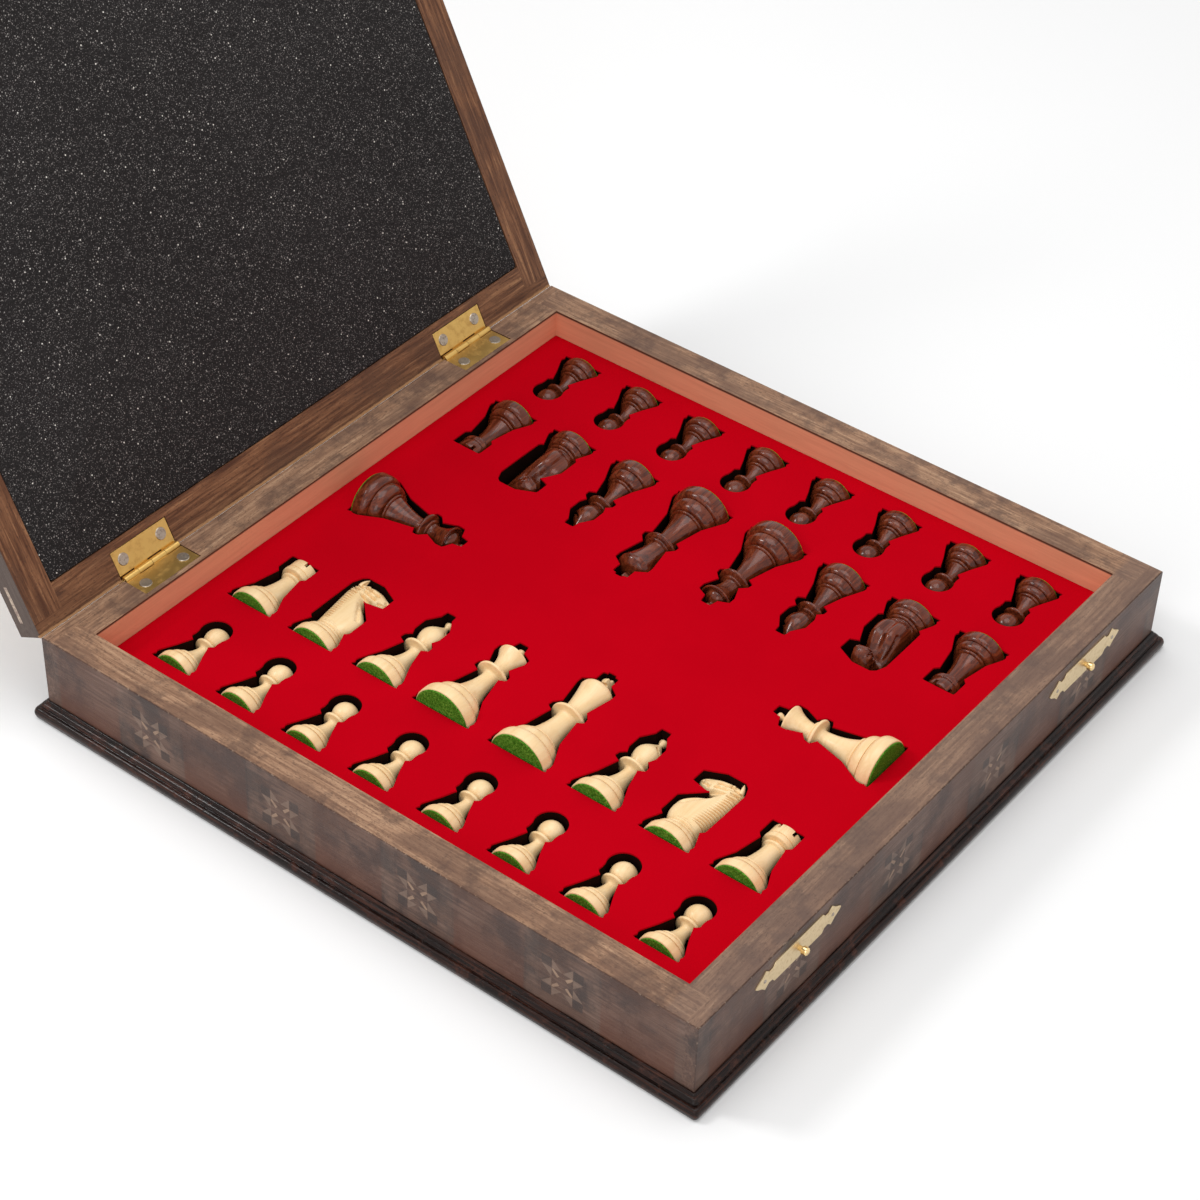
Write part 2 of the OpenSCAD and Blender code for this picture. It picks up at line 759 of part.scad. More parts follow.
module lid_front_rail() {
    color("saddlebrown")
        on_open_lid()
            difference() {
                lid_board() lapped_plan(rail_w, rail_w);
                at_fittings()
                    translate([0, -half_w, hook_z]) {
                        rivet_shape();
                        plate_pins();
                    }
            }
}

module lid_rear_rail() {
    color("saddlebrown")
        on_open_lid()
            difference() {
                lid_board() mirror([0, 1]) lapped_plan(rear_rail_w, rail_w);
                translate([0, half_w, lid_bottom])
                    rotate([45, 0, 0])
                        cube([box_w + 2 * cut, worn_edge * sqrt(2), worn_edge * sqrt(2)], center = true);
                at_fittings()
                    translate([0, half_w, pin_z]) {
                        leaf_pocket(-cut, lid_leaf_back);
                        mirror([0, 0, 1]) hinge_nails(-lid_leaf_face);
                    }
            }
}

module lid_left_rail() {
    color("saddlebrown") on_open_lid() lid_board() butted_plan(rail_w);
}

module lid_right_rail() {
    color("saddlebrown") on_open_lid() lid_board() mirror([1, 0]) butted_plan(rail_w);
}

module board_panel() {
    color("peru")
        on_open_lid()
            difference() {
                block([-panel_half, -panel_half, panel_bottom], [panel_half, panel_half, lid_top]);
                block([-squares_half, -squares_half, lid_top - veneer_t],
                      [squares_half, squares_half, lid_top + cut]);
            }
}

// The squares whose column and row add up to an even or an odd number
module board_squares(parity) {
    for (column = [0:squares - 1])
        for (row = [0:squares - 1])
            if ((column + row) % 2 == parity)
                translate([column * square_w - squares_half, row * square_w - squares_half, lid_top - veneer_t])
                    cube([square_w, square_w, veneer_t]);
}

module light_squares() {
    color("wheat") on_open_lid() board_squares(1);
}

module dark_squares() {
    color("sienna") on_open_lid() board_squares(0);
}

module lid_foam() {
    reach = half_w - rail_w - foam_gap;
    color("#202224")
        on_open_lid()
            block([-reach, -reach, lid_bottom], [reach, half_w - rear_rail_w - foam_gap, panel_bottom]);
}

// ----------------------------------------------------------------- hinges
// Drawn about the pin's axis, along X, as they are with the lid closed

module barrel(r, length) {
    rotate([0, 90, 0]) cylinder(h = length, r = r, center = true);
}

module leaf_pocket(low, high) {
    reach = hinge_l / 2 + mortise_gap;
    block([-reach, -leaf_w - mortise_gap, low], [reach, barrel_r + 2 * cut, high]);
}

// Knuckle i of the barrel, counted from the left, grown by extra at its ends
module knuckle_slice(i, extra) {
    from = i * knuckle_l - hinge_l / 2 + knuckle_gap / 2 - extra;
    to = (i + 1) * knuckle_l - hinge_l / 2 - knuckle_gap / 2 + extra;
    block([from, -leaf_w - cut, -2 * tail_r], [to, 2 * tail_r, 2 * tail_r]);
}

// One leaf with every second knuckle, starting with knuckle first
module hinge_leaf(first, leaf_bottom, tail_side) {
    last = knuckles - 1;
    difference() {
        union() {
            // The plate, cut back beside the other leaf's knuckles
            difference() {
                block([-hinge_l / 2, -leaf_w, leaf_bottom], [hinge_l / 2, 0, leaf_bottom + leaf_t]);
                for (i = [1 - first:2:last])
                    intersection() {
                        knuckle_slice(i, knuckle_gap);
                        block([-hinge_l, -leaf_notch, -tail_r], [hinge_l, tail_r, tail_r]);
                    }
            }
            intersection() {
                union() {
                    barrel(barrel_r, hinge_l);
                    stop_tail(tail_side, 0);
                }
                union() for (i = [first:2:last]) knuckle_slice(i, 0);
            }
            stop_tail(tail_side, leaf_notch);
        }
        barrel(pin_r + pin_gap, hinge_l + 2 * cut);
        for (side = [-1, 1])
            translate([side * nail_x, -nail_y, 0])
                cylinder(h = 4 * leaf_t, r = nail_r + pin_gap, center = true);
    }
}

// Tail behind the barrel. The two tails meet when the lid has turned through lid_angle.
module stop_tail(side, from_r) {
    mirror([0, 0, side < 0 ? 1 : 0])
        rotate([lid_angle / 2, 0, 0])
            block([-hinge_l / 2, from_r, tail_gap / 2], [hinge_l / 2, tail_r, tail_t]);
}

module base_hinge_leaves() {
    color("goldenrod")
        at_fittings()
            translate([0, half_w, pin_z])
                hinge_leaf(0, base_leaf_bottom, -1);
}

module lid_hinge_leaves() {
    color("goldenrod")
        on_open_lid()
            at_fittings()
                translate([0, half_w, pin_z])
                    hinge_leaf(1, lid_leaf_face, 1);
}

module hinge_pins() {
    color("darkgoldenrod")
        at_fittings()
            translate([0, half_w, pin_z])
                barrel(pin_r, hinge_l);
}

// ---------------------------------------------------------- nails and pins

// The two nails of a leaf whose face is at height face
module hinge_nails(face) {
    for (side = [-1, 1])
        translate([side * nail_x, -nail_y, face]) {
            cylinder(h = nail_head_t, r1 = nail_head_r, r2 = nail_head_r - 0.3);
            translate([0, 0, -nail_l]) cylinder(h = nail_l, r = nail_r);
        }
}

// The two pins of a latch plate, on the face of the wood
module plate_pins() {
    for (side = [-1, 1])
        translate([side * plate_pin_x, 0, 0])
            rotate([90, 0, 0]) {
                translate([0, 0, plate_t]) cylinder(h = 0.4, r1 = plate_pin_head_r, r2 = 0.7);
                translate([0, 0, plate_t - plate_pin_l]) cylinder(h = plate_pin_l, r = plate_pin_r);
            }
}

module base_nails() {
    color("silver") {
        at_fittings()
            translate([0, half_w, pin_z])
                hinge_nails(base_leaf_top);
        at_fittings()
            translate([0, -half_w, stud_z])
                plate_pins();
    }
}

module lid_nails() {
    color("silver")
        on_open_lid() {
            at_fittings()
                translate([0, half_w, pin_z])
                    mirror([0, 0, 1])
                        hinge_nails(-lid_leaf_face);
            at_fittings()
                translate([0, -half_w, hook_z])
                    plate_pins();
        }
}

// ---------------------------------------------------------------- latches

// Quarter of a latch plate's ornate outline: straight edge, step, horn and pointed end
function plate_quarter() =
    let (l = plate_l / 2, h = plate_h / 2)
    [[l - 14.8, h], [l - 13.2, h - 2.2], [l - 10.4, h - 2.6], [l - 7.6, h - 0.1], [l - 4.8, h - 2.8], [l - 1.6, h - 4.6]];

// A latch plate on the face of the wood, with a hole of radius hole_r in its middle
module latch_plate(hole_r) {
    q = plate_quarter();
    n = len(q) - 1;
    outline = concat(
        q, [[plate_l / 2, 0]],
        [for (i = [n:-1:0]) [q[i][0], -q[i][1]]],
        [for (i = [0:n]) [-q[i][0], -q[i][1]]],
        [[-plate_l / 2, 0]],
        [for (i = [n:-1:0]) [-q[i][0], q[i][1]]]
    );
    rotate([90, 0, 0])
        difference() {
            linear_extrude(plate_t) polygon(outline);
            translate([0, 0, -cut]) cylinder(h = plate_t + 2 * cut, r = hole_r);
            for (side = [-1, 1])
                translate([side * plate_pin_x, 0, -cut])
                    cylinder(h = plate_t + 2 * cut, r = plate_pin_r);
        }
}

// Stud along -Y from the face of the wood: root, neck and round-ended head
module stud_shape() {
    neck_end = stud_neck_l;
    head_end = neck_end + stud_head_l;
    rotate([90, 0, 0])
        rotate_extrude()
            polygon(concat(
                [[0, -stud_root_l], [stud_neck_r, -stud_root_l], [stud_neck_r, neck_end]],
                [[stud_head_r - 0.3, neck_end], [stud_head_r, neck_end + 0.3], [stud_head_r, head_end - 1.2]],
                [for (i = [1:4]) let (t = 22.5 * i) [stud_head_r * cos(t), head_end - 1.2 + 1.2 * sin(t)]]
            ));
}

// Rivet that a hook turns on
module rivet_shape() {
    under = plate_t + hook_t + 2 * hook_gap;
    rotate([90, 0, 0])
        rotate_extrude()
            polygon([
                [0, -stud_root_l], [stud_neck_r, -stud_root_l], [stud_neck_r, under],
                [rivet_head_r, under], [rivet_head_r, under + 0.3], [rivet_head_r - 0.8, under + rivet_head_t],
                [0, under + rivet_head_t]
            ]);
}

module stud_plates() {
    color("khaki")
        at_fittings()
            translate([0, -half_w, stud_z])
                latch_plate(stud_neck_r);
}

module studs() {
    color("gold")
        at_fittings()
            translate([0, -half_w, stud_z])
                stud_shape();
}

module hook_plates() {
    color("khaki")
        on_open_lid()
            at_fittings()
                translate([0, -half_w, hook_z]) {
                    latch_plate(stud_neck_r);
                    rivet_shape();
                }
}

// Hook in its own plane, pointing along +X from its rivet, its slot open toward -Y
module hook_outline() {
    difference() {
        union() {
            circle(r = hook_half_w + 0.4);
            translate([0, -hook_half_w]) square([hook_reach, 2 * hook_half_w]);
            translate([hook_reach, 0]) circle(r = hook_tip_r);
        }
        circle(r = stud_neck_r + pin_gap);
        translate([hook_reach, 0]) circle(r = slot_r);
        intersection() {
            difference() {
                circle(r = hook_reach + slot_r);
                circle(r = hook_reach - slot_r);
            }
            translate([0, -2 * hook_tip_r]) square([2 * hook_reach, 2 * hook_tip_r]);
        }
    }
}

// A hook laid along the lid's edge, pointing toward the middle of the box
module hook(side) {
    color("gold")
        on_open_lid()
            translate([side * fitting_x, -half_w - plate_t - hook_gap, hook_z])
                rotate([90, 0, 0])
                    linear_extrude(hook_t)
                        mirror([side > 0 ? 1 : 0, 0])
                            hook_outline();
}

module left_hook() {
    hook(-1);
}

module right_hook() {
    hook(1);
}

// ------------------------------------------------------------------ nodes

front_wall();
rear_wall();
left_wall();
right_wall();
bottom_panel();
base_moulding();
foam_block();
felt_sheet();
lid_front_rail();
lid_rear_rail();
lid_left_rail();
lid_right_rail();
board_panel();
light_squares();
dark_squares();
lid_foam();
base_hinge_leaves();
lid_hinge_leaves();
hinge_pins();
base_nails();
lid_nails();
stud_plates();
studs();
hook_plates();
left_hook();
right_hook();
chessman("light", "king");  // light_king
chessman("light", "queen");  // light_queen
chessman("light", "extra_queen");  // light_extra_queen
chessman("light", "bishop_1");  // light_bishop_1
chessman("light", "bishop_2");  // light_bishop_2
chessman("light", "knight_1");  // light_knight_1
chessman("light", "knight_2");  // light_knight_2
chessman("light", "rook_1");  // light_rook_1
chessman("light", "rook_2");  // light_rook_2
chessman("light", "pawn_1");  // light_pawn_1
chessman("light", "pawn_2");  // light_pawn_2
chessman("light", "pawn_3");  // light_pawn_3
chessman("light", "pawn_4");  // light_pawn_4
chessman("light", "pawn_5");  // light_pawn_5
chessman("light", "pawn_6");  // light_pawn_6
chessman("light", "pawn_7");  // light_pawn_7
chessman("light", "pawn_8");  // light_pawn_8
chessman("dark", "king");  // dark_king
chessman("dark", "queen");  // dark_queen
chessman("dark", "extra_queen");  // dark_extra_queen
chessman("dark", "bishop_1");  // dark_bishop_1
chessman("dark", "bishop_2");  // dark_bishop_2
chessman("dark", "knight_1");  // dark_knight_1
chessman("dark", "knight_2");  // dark_knight_2
chessman("dark", "rook_1");  // dark_rook_1
chessman("dark", "rook_2");  // dark_rook_2
chessman("dark", "pawn_1");  // dark_pawn_1
chessman("dark", "pawn_2");  // dark_pawn_2
chessman("dark", "pawn_3");  // dark_pawn_3
chessman("dark", "pawn_4");  // dark_pawn_4
chessman("dark", "pawn_5");  // dark_pawn_5
chessman("dark", "pawn_6");  // dark_pawn_6
chessman("dark", "pawn_7");  // dark_pawn_7
chessman("dark", "pawn_8");  // dark_pawn_8
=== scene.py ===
"""A chess box with its lid open and its men lying in a flocked tray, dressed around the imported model.

Shapes are written in millimetres and turned into metres when a mesh is made. X runs along the hinges,
the latches face -Y and Z is up. The lid is modelled as if it were closed, then turned to where it stands.
"""

import logging
import math
from dataclasses import dataclass, field
from enum import Enum
from typing import Callable, Iterable, Optional, Sequence

import bmesh
import bpy
import numpy as np
from mathutils import Matrix, Vector
from mathutils.geometry import delaunay_2d_cdt

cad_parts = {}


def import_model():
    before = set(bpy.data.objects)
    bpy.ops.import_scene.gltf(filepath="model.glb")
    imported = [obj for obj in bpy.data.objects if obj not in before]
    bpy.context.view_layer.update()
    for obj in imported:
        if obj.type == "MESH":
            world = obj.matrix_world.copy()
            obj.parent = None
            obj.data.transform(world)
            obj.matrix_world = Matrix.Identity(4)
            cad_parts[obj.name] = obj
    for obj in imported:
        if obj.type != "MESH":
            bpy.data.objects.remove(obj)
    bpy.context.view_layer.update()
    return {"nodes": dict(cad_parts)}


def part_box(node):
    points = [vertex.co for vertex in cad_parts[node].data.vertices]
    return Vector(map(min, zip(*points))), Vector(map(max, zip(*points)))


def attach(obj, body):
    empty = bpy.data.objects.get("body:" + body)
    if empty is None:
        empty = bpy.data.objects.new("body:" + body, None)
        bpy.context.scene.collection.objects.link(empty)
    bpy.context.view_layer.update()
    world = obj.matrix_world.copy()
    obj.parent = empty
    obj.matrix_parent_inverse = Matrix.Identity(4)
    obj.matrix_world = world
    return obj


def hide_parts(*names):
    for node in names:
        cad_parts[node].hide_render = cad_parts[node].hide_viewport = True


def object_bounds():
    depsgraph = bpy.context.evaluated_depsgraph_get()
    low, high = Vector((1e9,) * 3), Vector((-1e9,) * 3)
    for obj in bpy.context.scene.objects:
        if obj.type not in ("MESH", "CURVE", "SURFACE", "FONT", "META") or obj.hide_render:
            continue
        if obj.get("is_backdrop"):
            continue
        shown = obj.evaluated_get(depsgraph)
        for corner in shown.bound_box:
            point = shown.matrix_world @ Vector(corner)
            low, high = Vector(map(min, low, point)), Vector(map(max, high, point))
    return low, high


LOG = logging.getLogger("chess_box")
MM = 0.001
Colour = tuple[float, float, float]
Corner = tuple[float, float]
Arc = tuple[float, float, float]
Socket = bpy.types.NodeSocket


# ------------------------------------------------------------------ sizes


@dataclass(frozen=True)
class BoxSizes:
    """Sizes of the box that its looks share, in millimetres and degrees."""

    half_width: float = 200.0
    base_height: float = 52.0
    wall: float = 18.5
    corner_lip: float = 7.0
    skirt_height: float = 11.0
    skirt_out: float = 6.0
    red_height: float = 35.4
    flock: float = 1.0
    foam_bottom: float = 8.0
    tray_half: float = 181.2
    lid_angle: float = 117.0
    lid_thickness: float = 17.5
    seam: float = 0.6
    rail: float = 18.5
    rear_rail: float = 20.5
    board_thickness: float = 5.0
    pin_height: float = 51.4
    fitting_x: float = 124.2
    hinge_half: float = 19.0
    worn_edge: float = 1.0
    square: float = 45.0

    @property
    def lid_bottom(self) -> float:
        """Height of the closed lid's mating face."""
        return self.base_height + self.seam

    @property
    def lid_top(self) -> float:
        """Height of the closed lid's outer face."""
        return self.lid_bottom + self.lid_thickness


SIZES = BoxSizes()


class Kind(Enum):
    """The six kinds of chessmen."""

    KING = "king"
    QUEEN = "queen"
    BISHOP = "bishop"
    KNIGHT = "knight"
    ROOK = "rook"
    PAWN = "pawn"


class Side(Enum):
    """The two sides, named by the colour of their wood."""

    LIGHT = "light"
    DARK = "dark"


@dataclass(frozen=True)
class ManSizes:
    """Sizes of one kind of man, from its base upward, in millimetres.

    Args:
        height: The whole man.
        base: Radius of the base.
        depth: Depth of the axis below the red sheet.
        rim: Height of the rim's upper edge.
        shoulder: Height of the second round's upper edge.
        shoulder_r: Radius there.
        head: Length from the collar to the top.
        neck_r: Radius under the collar.
        collar_r: Radius of the collar's disc.
    """

    height: float
    base: float
    depth: float
    rim: float
    shoulder: float
    shoulder_r: float
    head: float
    neck_r: float
    collar_r: float

    @property
    def collar(self) -> float:
        """Height of the collar."""
        return self.height - self.head


MEN: dict[Kind, ManSizes] = {
    Kind.KING: ManSizes(75.5, 17.0, 5.8, 5.0, 18.0, 9.8, 35.5, 5.9, 10.2),
    Kind.QUEEN: ManSizes(64.5, 17.0, 4.6, 5.0, 17.5, 9.6, 24.8, 4.6, 9.4),
    Kind.BISHOP: ManSizes(59.2, 13.8, 7.1, 4.2, 15.5, 7.8, 27.0, 3.6, 8.4),
    Kind.KNIGHT: ManSizes(54.0, 13.8, 8.3, 4.2, 12.5, 9.4, 36.0, 9.0, 9.0),
    Kind.ROOK: ManSizes(42.5, 13.8, 7.3, 4.2, 13.5, 8.6, 12.0, 5.3, 7.0),
    Kind.PAWN: ManSizes(38.8, 11.8, 7.4, 3.6, 12.2, 6.8, 14.5, 3.2, 6.7),
}
BALL_R = 6.9
CROWN_R = 10.0
CORONET_R = 9.0
MITRE_R = 7.3
TURRET_R = 8.7
TURRET_H = 9.0
FINIAL_R = 2.3
CROSS_HALF = 4.2
PAD = 0.8


# ------------------------------------------------------------ mesh surfaces


@dataclass
class Surface:
    """Points in millimetres with their faces, and the index of the material they take."""

    points: np.ndarray
    faces: list[Sequence[int]]
    material: int = 0

    def moved(self, change: Callable[[np.ndarray], np.ndarray]) -> "Surface":
        """Returns the same faces on changed points.

        Args:
            change: Takes and returns an array of points.
        """
        return Surface(change(self.points), self.faces, self.material)


def ring_faces(rings: int, around: int) -> list[Sequence[int]]:
    """Faces between neighbouring rings of a closed band.

    Args:
        rings: Number of rings.
        around: Points in each ring.

    Returns:
        Quads (ring, ring, next ring, next ring), wrapped round at the last column.
    """
    row = np.arange(rings - 1)[:, None] * around
    here = np.arange(around)[None, :]
    after = (here + 1) % around
    quads = np.stack([row + here, row + after, row + around + after, row + around + here], axis=-1)
    return quads.reshape(-1, 4).tolist()


def capped_rings(rings: np.ndarray, material: int = 0) -> Surface:
    """A closed solid through rings of points, its first and last ring filled by a fan to their middle.

    Args:
        rings: Array of shape (rings, around, 3).
        material: Index of the material.

    Returns:
        The surface, whose faces point outward where the rings turn anticlockwise about their advance.
    """
    count, around = rings.shape[:2]
    points = np.concatenate([rings.reshape(-1, 3), rings[:1].mean(axis=1), rings[-1:].mean(axis=1)])
    faces = ring_faces(count, around)
    first, last = count * around, count * around + 1
    here = np.arange(around)
    after = (here + 1) % around
    start = np.stack([after, here, np.full(around, first)], axis=-1)
    base = (count - 1) * around
    end = np.stack([base + here, base + after, np.full(around, last)], axis=-1)
    return Surface(points, faces + start.tolist() + end.tolist(), material)


def at_height(flat: np.ndarray, height: object) -> np.ndarray:
    """Puts plan points at one height, or each at its own."""
    return np.column_stack([flat, np.broadcast_to(height, len(flat))])


def unit(angle: np.ndarray) -> np.ndarray:
    """Unit vectors (cos, sin) of angles."""
    return np.stack([np.cos(angle), np.sin(angle)], axis=-1)


def quarter_turn(count: int) -> np.ndarray:
    """Angles from zero to a right angle, in radians."""
    return np.linspace(0, math.pi / 2, count)


def arc_chain(chain: Sequence[Arc], fineness: float = 0.55) -> np.ndarray:
    """Points along a chain of shallow arcs.

    Each arc is a parabola: the straight line from a point to the next, plus its bulge times 4t(1-t)
    to the right of the way. A bulge of zero is a straight line.

    Args:
        chain: Points (across, up, bulge of the arc that ends there).
        fineness: Longest step along an arc, in millimetres.

    Returns:
        Array of shape (n, 2).
    """
    out = [np.array([chain[0][:2]], float)]
    for (x0, y0, _), (x1, y1, bulge) in zip(chain, chain[1:]):
        step = np.array([x1 - x0, y1 - y0])
        length = float(np.hypot(*step))
        count = 1 if bulge == 0 else max(3, math.ceil(length / fineness))
        t = np.arange(1, count + 1)[:, None] / count
        right = np.array([step[1], -step[0]]) / max(length, 1e-9)
        out.append(np.array([[x0, y0]]) + step * t + right * bulge * 4 * t * (1 - t))
    return np.concatenate(out)


def turned(profile: np.ndarray, around: int = 72, material: int = 0) -> Surface:
    """A solid of revolution about Z.

    A point (r, h) of the profile becomes the ring (r cos a, r sin a, h) for the angles a.

    Args:
        profile: Array of (radius, height), from the bottom up, with radii above zero.
        around: Points in a ring.
        material: Index of the material.

    Returns:
        The closed surface.
    """
    angle = np.arange(around) * 2 * math.pi / around
    radius = np.maximum(profile[:, :1], 1e-3)
    rings = np.stack(
        [radius * np.cos(angle), radius * np.sin(angle), np.repeat(profile[:, 1:], around, axis=1)], axis=-1
    )
    return capped_rings(rings, material)


def smooth_path(points: np.ndarray, count: int) -> np.ndarray:
    """A Catmull-Rom curve through points, sampled evenly in its parameter.

    Between two points the curve is the usual cubic of the four nearest points.

    Args:
        points: Array of shape (n, k).
        count: Number of samples.

    Returns:
        Array of shape (count, k).
    """
    last = len(points) - 1
    place = np.linspace(0, last, count)
    index = np.minimum(place.astype(int), last - 1)
    t = (place - index)[:, None]
    a, b, c, d = (points[np.clip(index + shift, 0, last)] for shift in (-1, 0, 1, 2))
    return 0.5 * (
        2 * b + (c - a) * t + (2 * a - 5 * b + 4 * c - d) * t**2 + (3 * b - a - 3 * c + d) * t**3
    )


def even_loop(points: np.ndarray, step: float) -> np.ndarray:
    """Points at even distances along a closed loop.

    Args:
        points: Array of shape (n, 2).
        step: Distance between points, in millimetres.

    Returns:
        Array of shape (m, 2).
    """
    closed = np.concatenate([points, points[:1]])
    length = np.concatenate([[0], np.cumsum(np.hypot(*np.diff(closed, axis=0).T))])
    count = max(8, int(round(length[-1] / step)))
    wanted = np.arange(count) * length[-1] / count
    return np.stack([np.interp(wanted, length, closed[:, axis]) for axis in (0, 1)], axis=-1)


def rounded_corners(points: np.ndarray, cut: float = 0.2) -> np.ndarray:
    """Cuts the corners of a closed loop: each edge keeps its middle part, between two shares of its length.

    Args:
        points: Array of shape (n, 2).
        cut: Share of an edge that each of its ends loses.
    """
    after = np.roll(points, -1, axis=0)
    keep = 1 - cut
    return np.stack([keep * points + cut * after, cut * points + keep * after], axis=1).reshape(-1, 2)


def loop_normals(loop: np.ndarray) -> np.ndarray:
    """Outward normals of an anticlockwise loop: the chord between neighbours, turned to the right."""
    chord = np.roll(loop, -1, axis=0) - np.roll(loop, 1, axis=0)
    normal = np.stack([chord[:, 1], -chord[:, 0]], axis=-1)
    return normal / np.maximum(np.linalg.norm(normal, axis=1, keepdims=True), 1e-9)


def inside(points: np.ndarray, loop: np.ndarray) -> np.ndarray:
    """Says which points lie in a loop, by counting the edges that a ray toward +X crosses.

    Args:
        points: Array of shape (n, 2).
        loop: Array of shape (m, 2).

    Returns:
        Array of n booleans.
    """
    start, end = loop, np.roll(loop, -1, axis=0)
    x, y = points[:, 0:1], points[:, 1:2]
    spans = (start[:, 1] > y) != (end[:, 1] > y)
    rise = np.where(end[:, 1] == start[:, 1], 1e-9, end[:, 1] - start[:, 1])
    cross = start[:, 0] + (y - start[:, 1]) / rise * (end[:, 0] - start[:, 0])
    return (np.logical_and(spans, x < cross).sum(axis=1) % 2).astype(bool)


def perforated_plane(outer: np.ndarray, holes: Sequence[np.ndarray],
                     spacing: float) -> tuple[np.ndarray, np.ndarray]:
    """Triangles over a plane region with holes.

    Args:
        outer: The region's outline.
        holes: Outlines of the holes.
        spacing: Distance of the free points inside.

    Returns:
        Points of shape (n, 2), which start with the outline's and then each hole's own points, and triangles
        of shape (m, 3) that turn anticlockwise.
    """
    loops = [outer, *holes]
    low, high = outer.min(axis=0), outer.max(axis=0)
    ways = [np.arange(low[axis] + spacing / 2, high[axis], spacing) for axis in (0, 1)]
    grid = np.stack(np.meshgrid(*ways), axis=-1).reshape(-1, 2)
    free = np.ones(len(grid), bool)
    for hole in holes:
        grown = hole + loop_normals(hole) * spacing / 3
        free &= ~inside(grid, grown)
    edges: list[tuple[int, int]] = []
    start = 0
    for loop in loops:
        here = np.arange(len(loop))
        edges += [(start + int(i), start + int((i + 1) % len(loop))) for i in here]
        start += len(loop)
    points = np.concatenate([*loops, grid[free]])
    found, _, faces, *_ = delaunay_2d_cdt([Vector(p) for p in points], edges, [], 0, 1e-6)
    placed = np.array([tuple(p) for p in found])
    triangles = np.array([face for face in faces if len(face) == 3])
    middle = placed[triangles].mean(axis=1)
    keep = inside(middle, outer)
    for hole in holes:
        keep &= ~inside(middle, hole)
    return placed, triangles[keep]


def add_object(name: str, data: bpy.types.ID) -> bpy.types.Object:
    """Makes an object of a mesh, a lamp or a camera, and puts it in the scene.

    Args:
        name: Its name.
        data: What it shows.
    """
    made = bpy.data.objects.new(name, data)
    bpy.context.scene.collection.objects.link(made)
    return made


@dataclass
class Piece:
    """A finished piece of the scene, before its mesh is made.

    Args:
        name: Name of the object.
        surfaces: Its surfaces.
        materials: Its materials, in the order that the surfaces index.
        body: The body that it rides on.
        slot: Name of a material slot; not used.
        replaces: Nodes that it stands for.
        crease: Angle in degrees above which an edge stays sharp.
    """

    name: str
    surfaces: list[Surface]
    materials: list[bpy.types.Material]
    body: str
    slot: str
    replaces: Sequence[str] = ()
    crease: float = 40.0

    def build(self) -> bpy.types.Object:
        """Makes the mesh object, puts it on its body and returns it."""
        mesh = bpy.data.meshes.new(self.name)
        points = np.concatenate([surface.points for surface in self.surfaces]) * MM
        faces: list[Sequence[int]] = []
        index: list[int] = []
        start = 0
        for surface in self.surfaces:
            faces += [tuple(int(i) + start for i in face) for face in surface.faces]
            index += [surface.material] * len(surface.faces)
            start += len(surface.points)
        mesh.from_pydata(points.tolist(), [], faces)
        for material in self.materials:
            mesh.materials.append(material)
        mesh.polygons.foreach_set("material_index", np.array(index, np.int32))
        mesh.polygons.foreach_set("use_smooth", np.ones(len(faces), bool))
        mesh.set_sharp_from_angle(angle=math.radians(self.crease))
        mesh.validate()
        mesh.update()
        made = add_object(self.name, mesh)
        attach(made, self.body)
        if self.replaces:
            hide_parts(*self.replaces)
        LOG.info("%s: %d points, %d faces, on %s", self.name, len(points), len(faces), self.body)
        return made


# -------------------------------------------------------------- node trees


def srgb(red: int, green: int, blue: int) -> Colour:
    """Turns a colour of 0 to 255, as a screen shows it, into linear light."""
    parts = (value / 255 for value in (red, green, blue))
    return tuple(part / 12.92 if part <= 0.04045 else ((part + 0.055) / 1.055) ** 2.4 for part in parts)


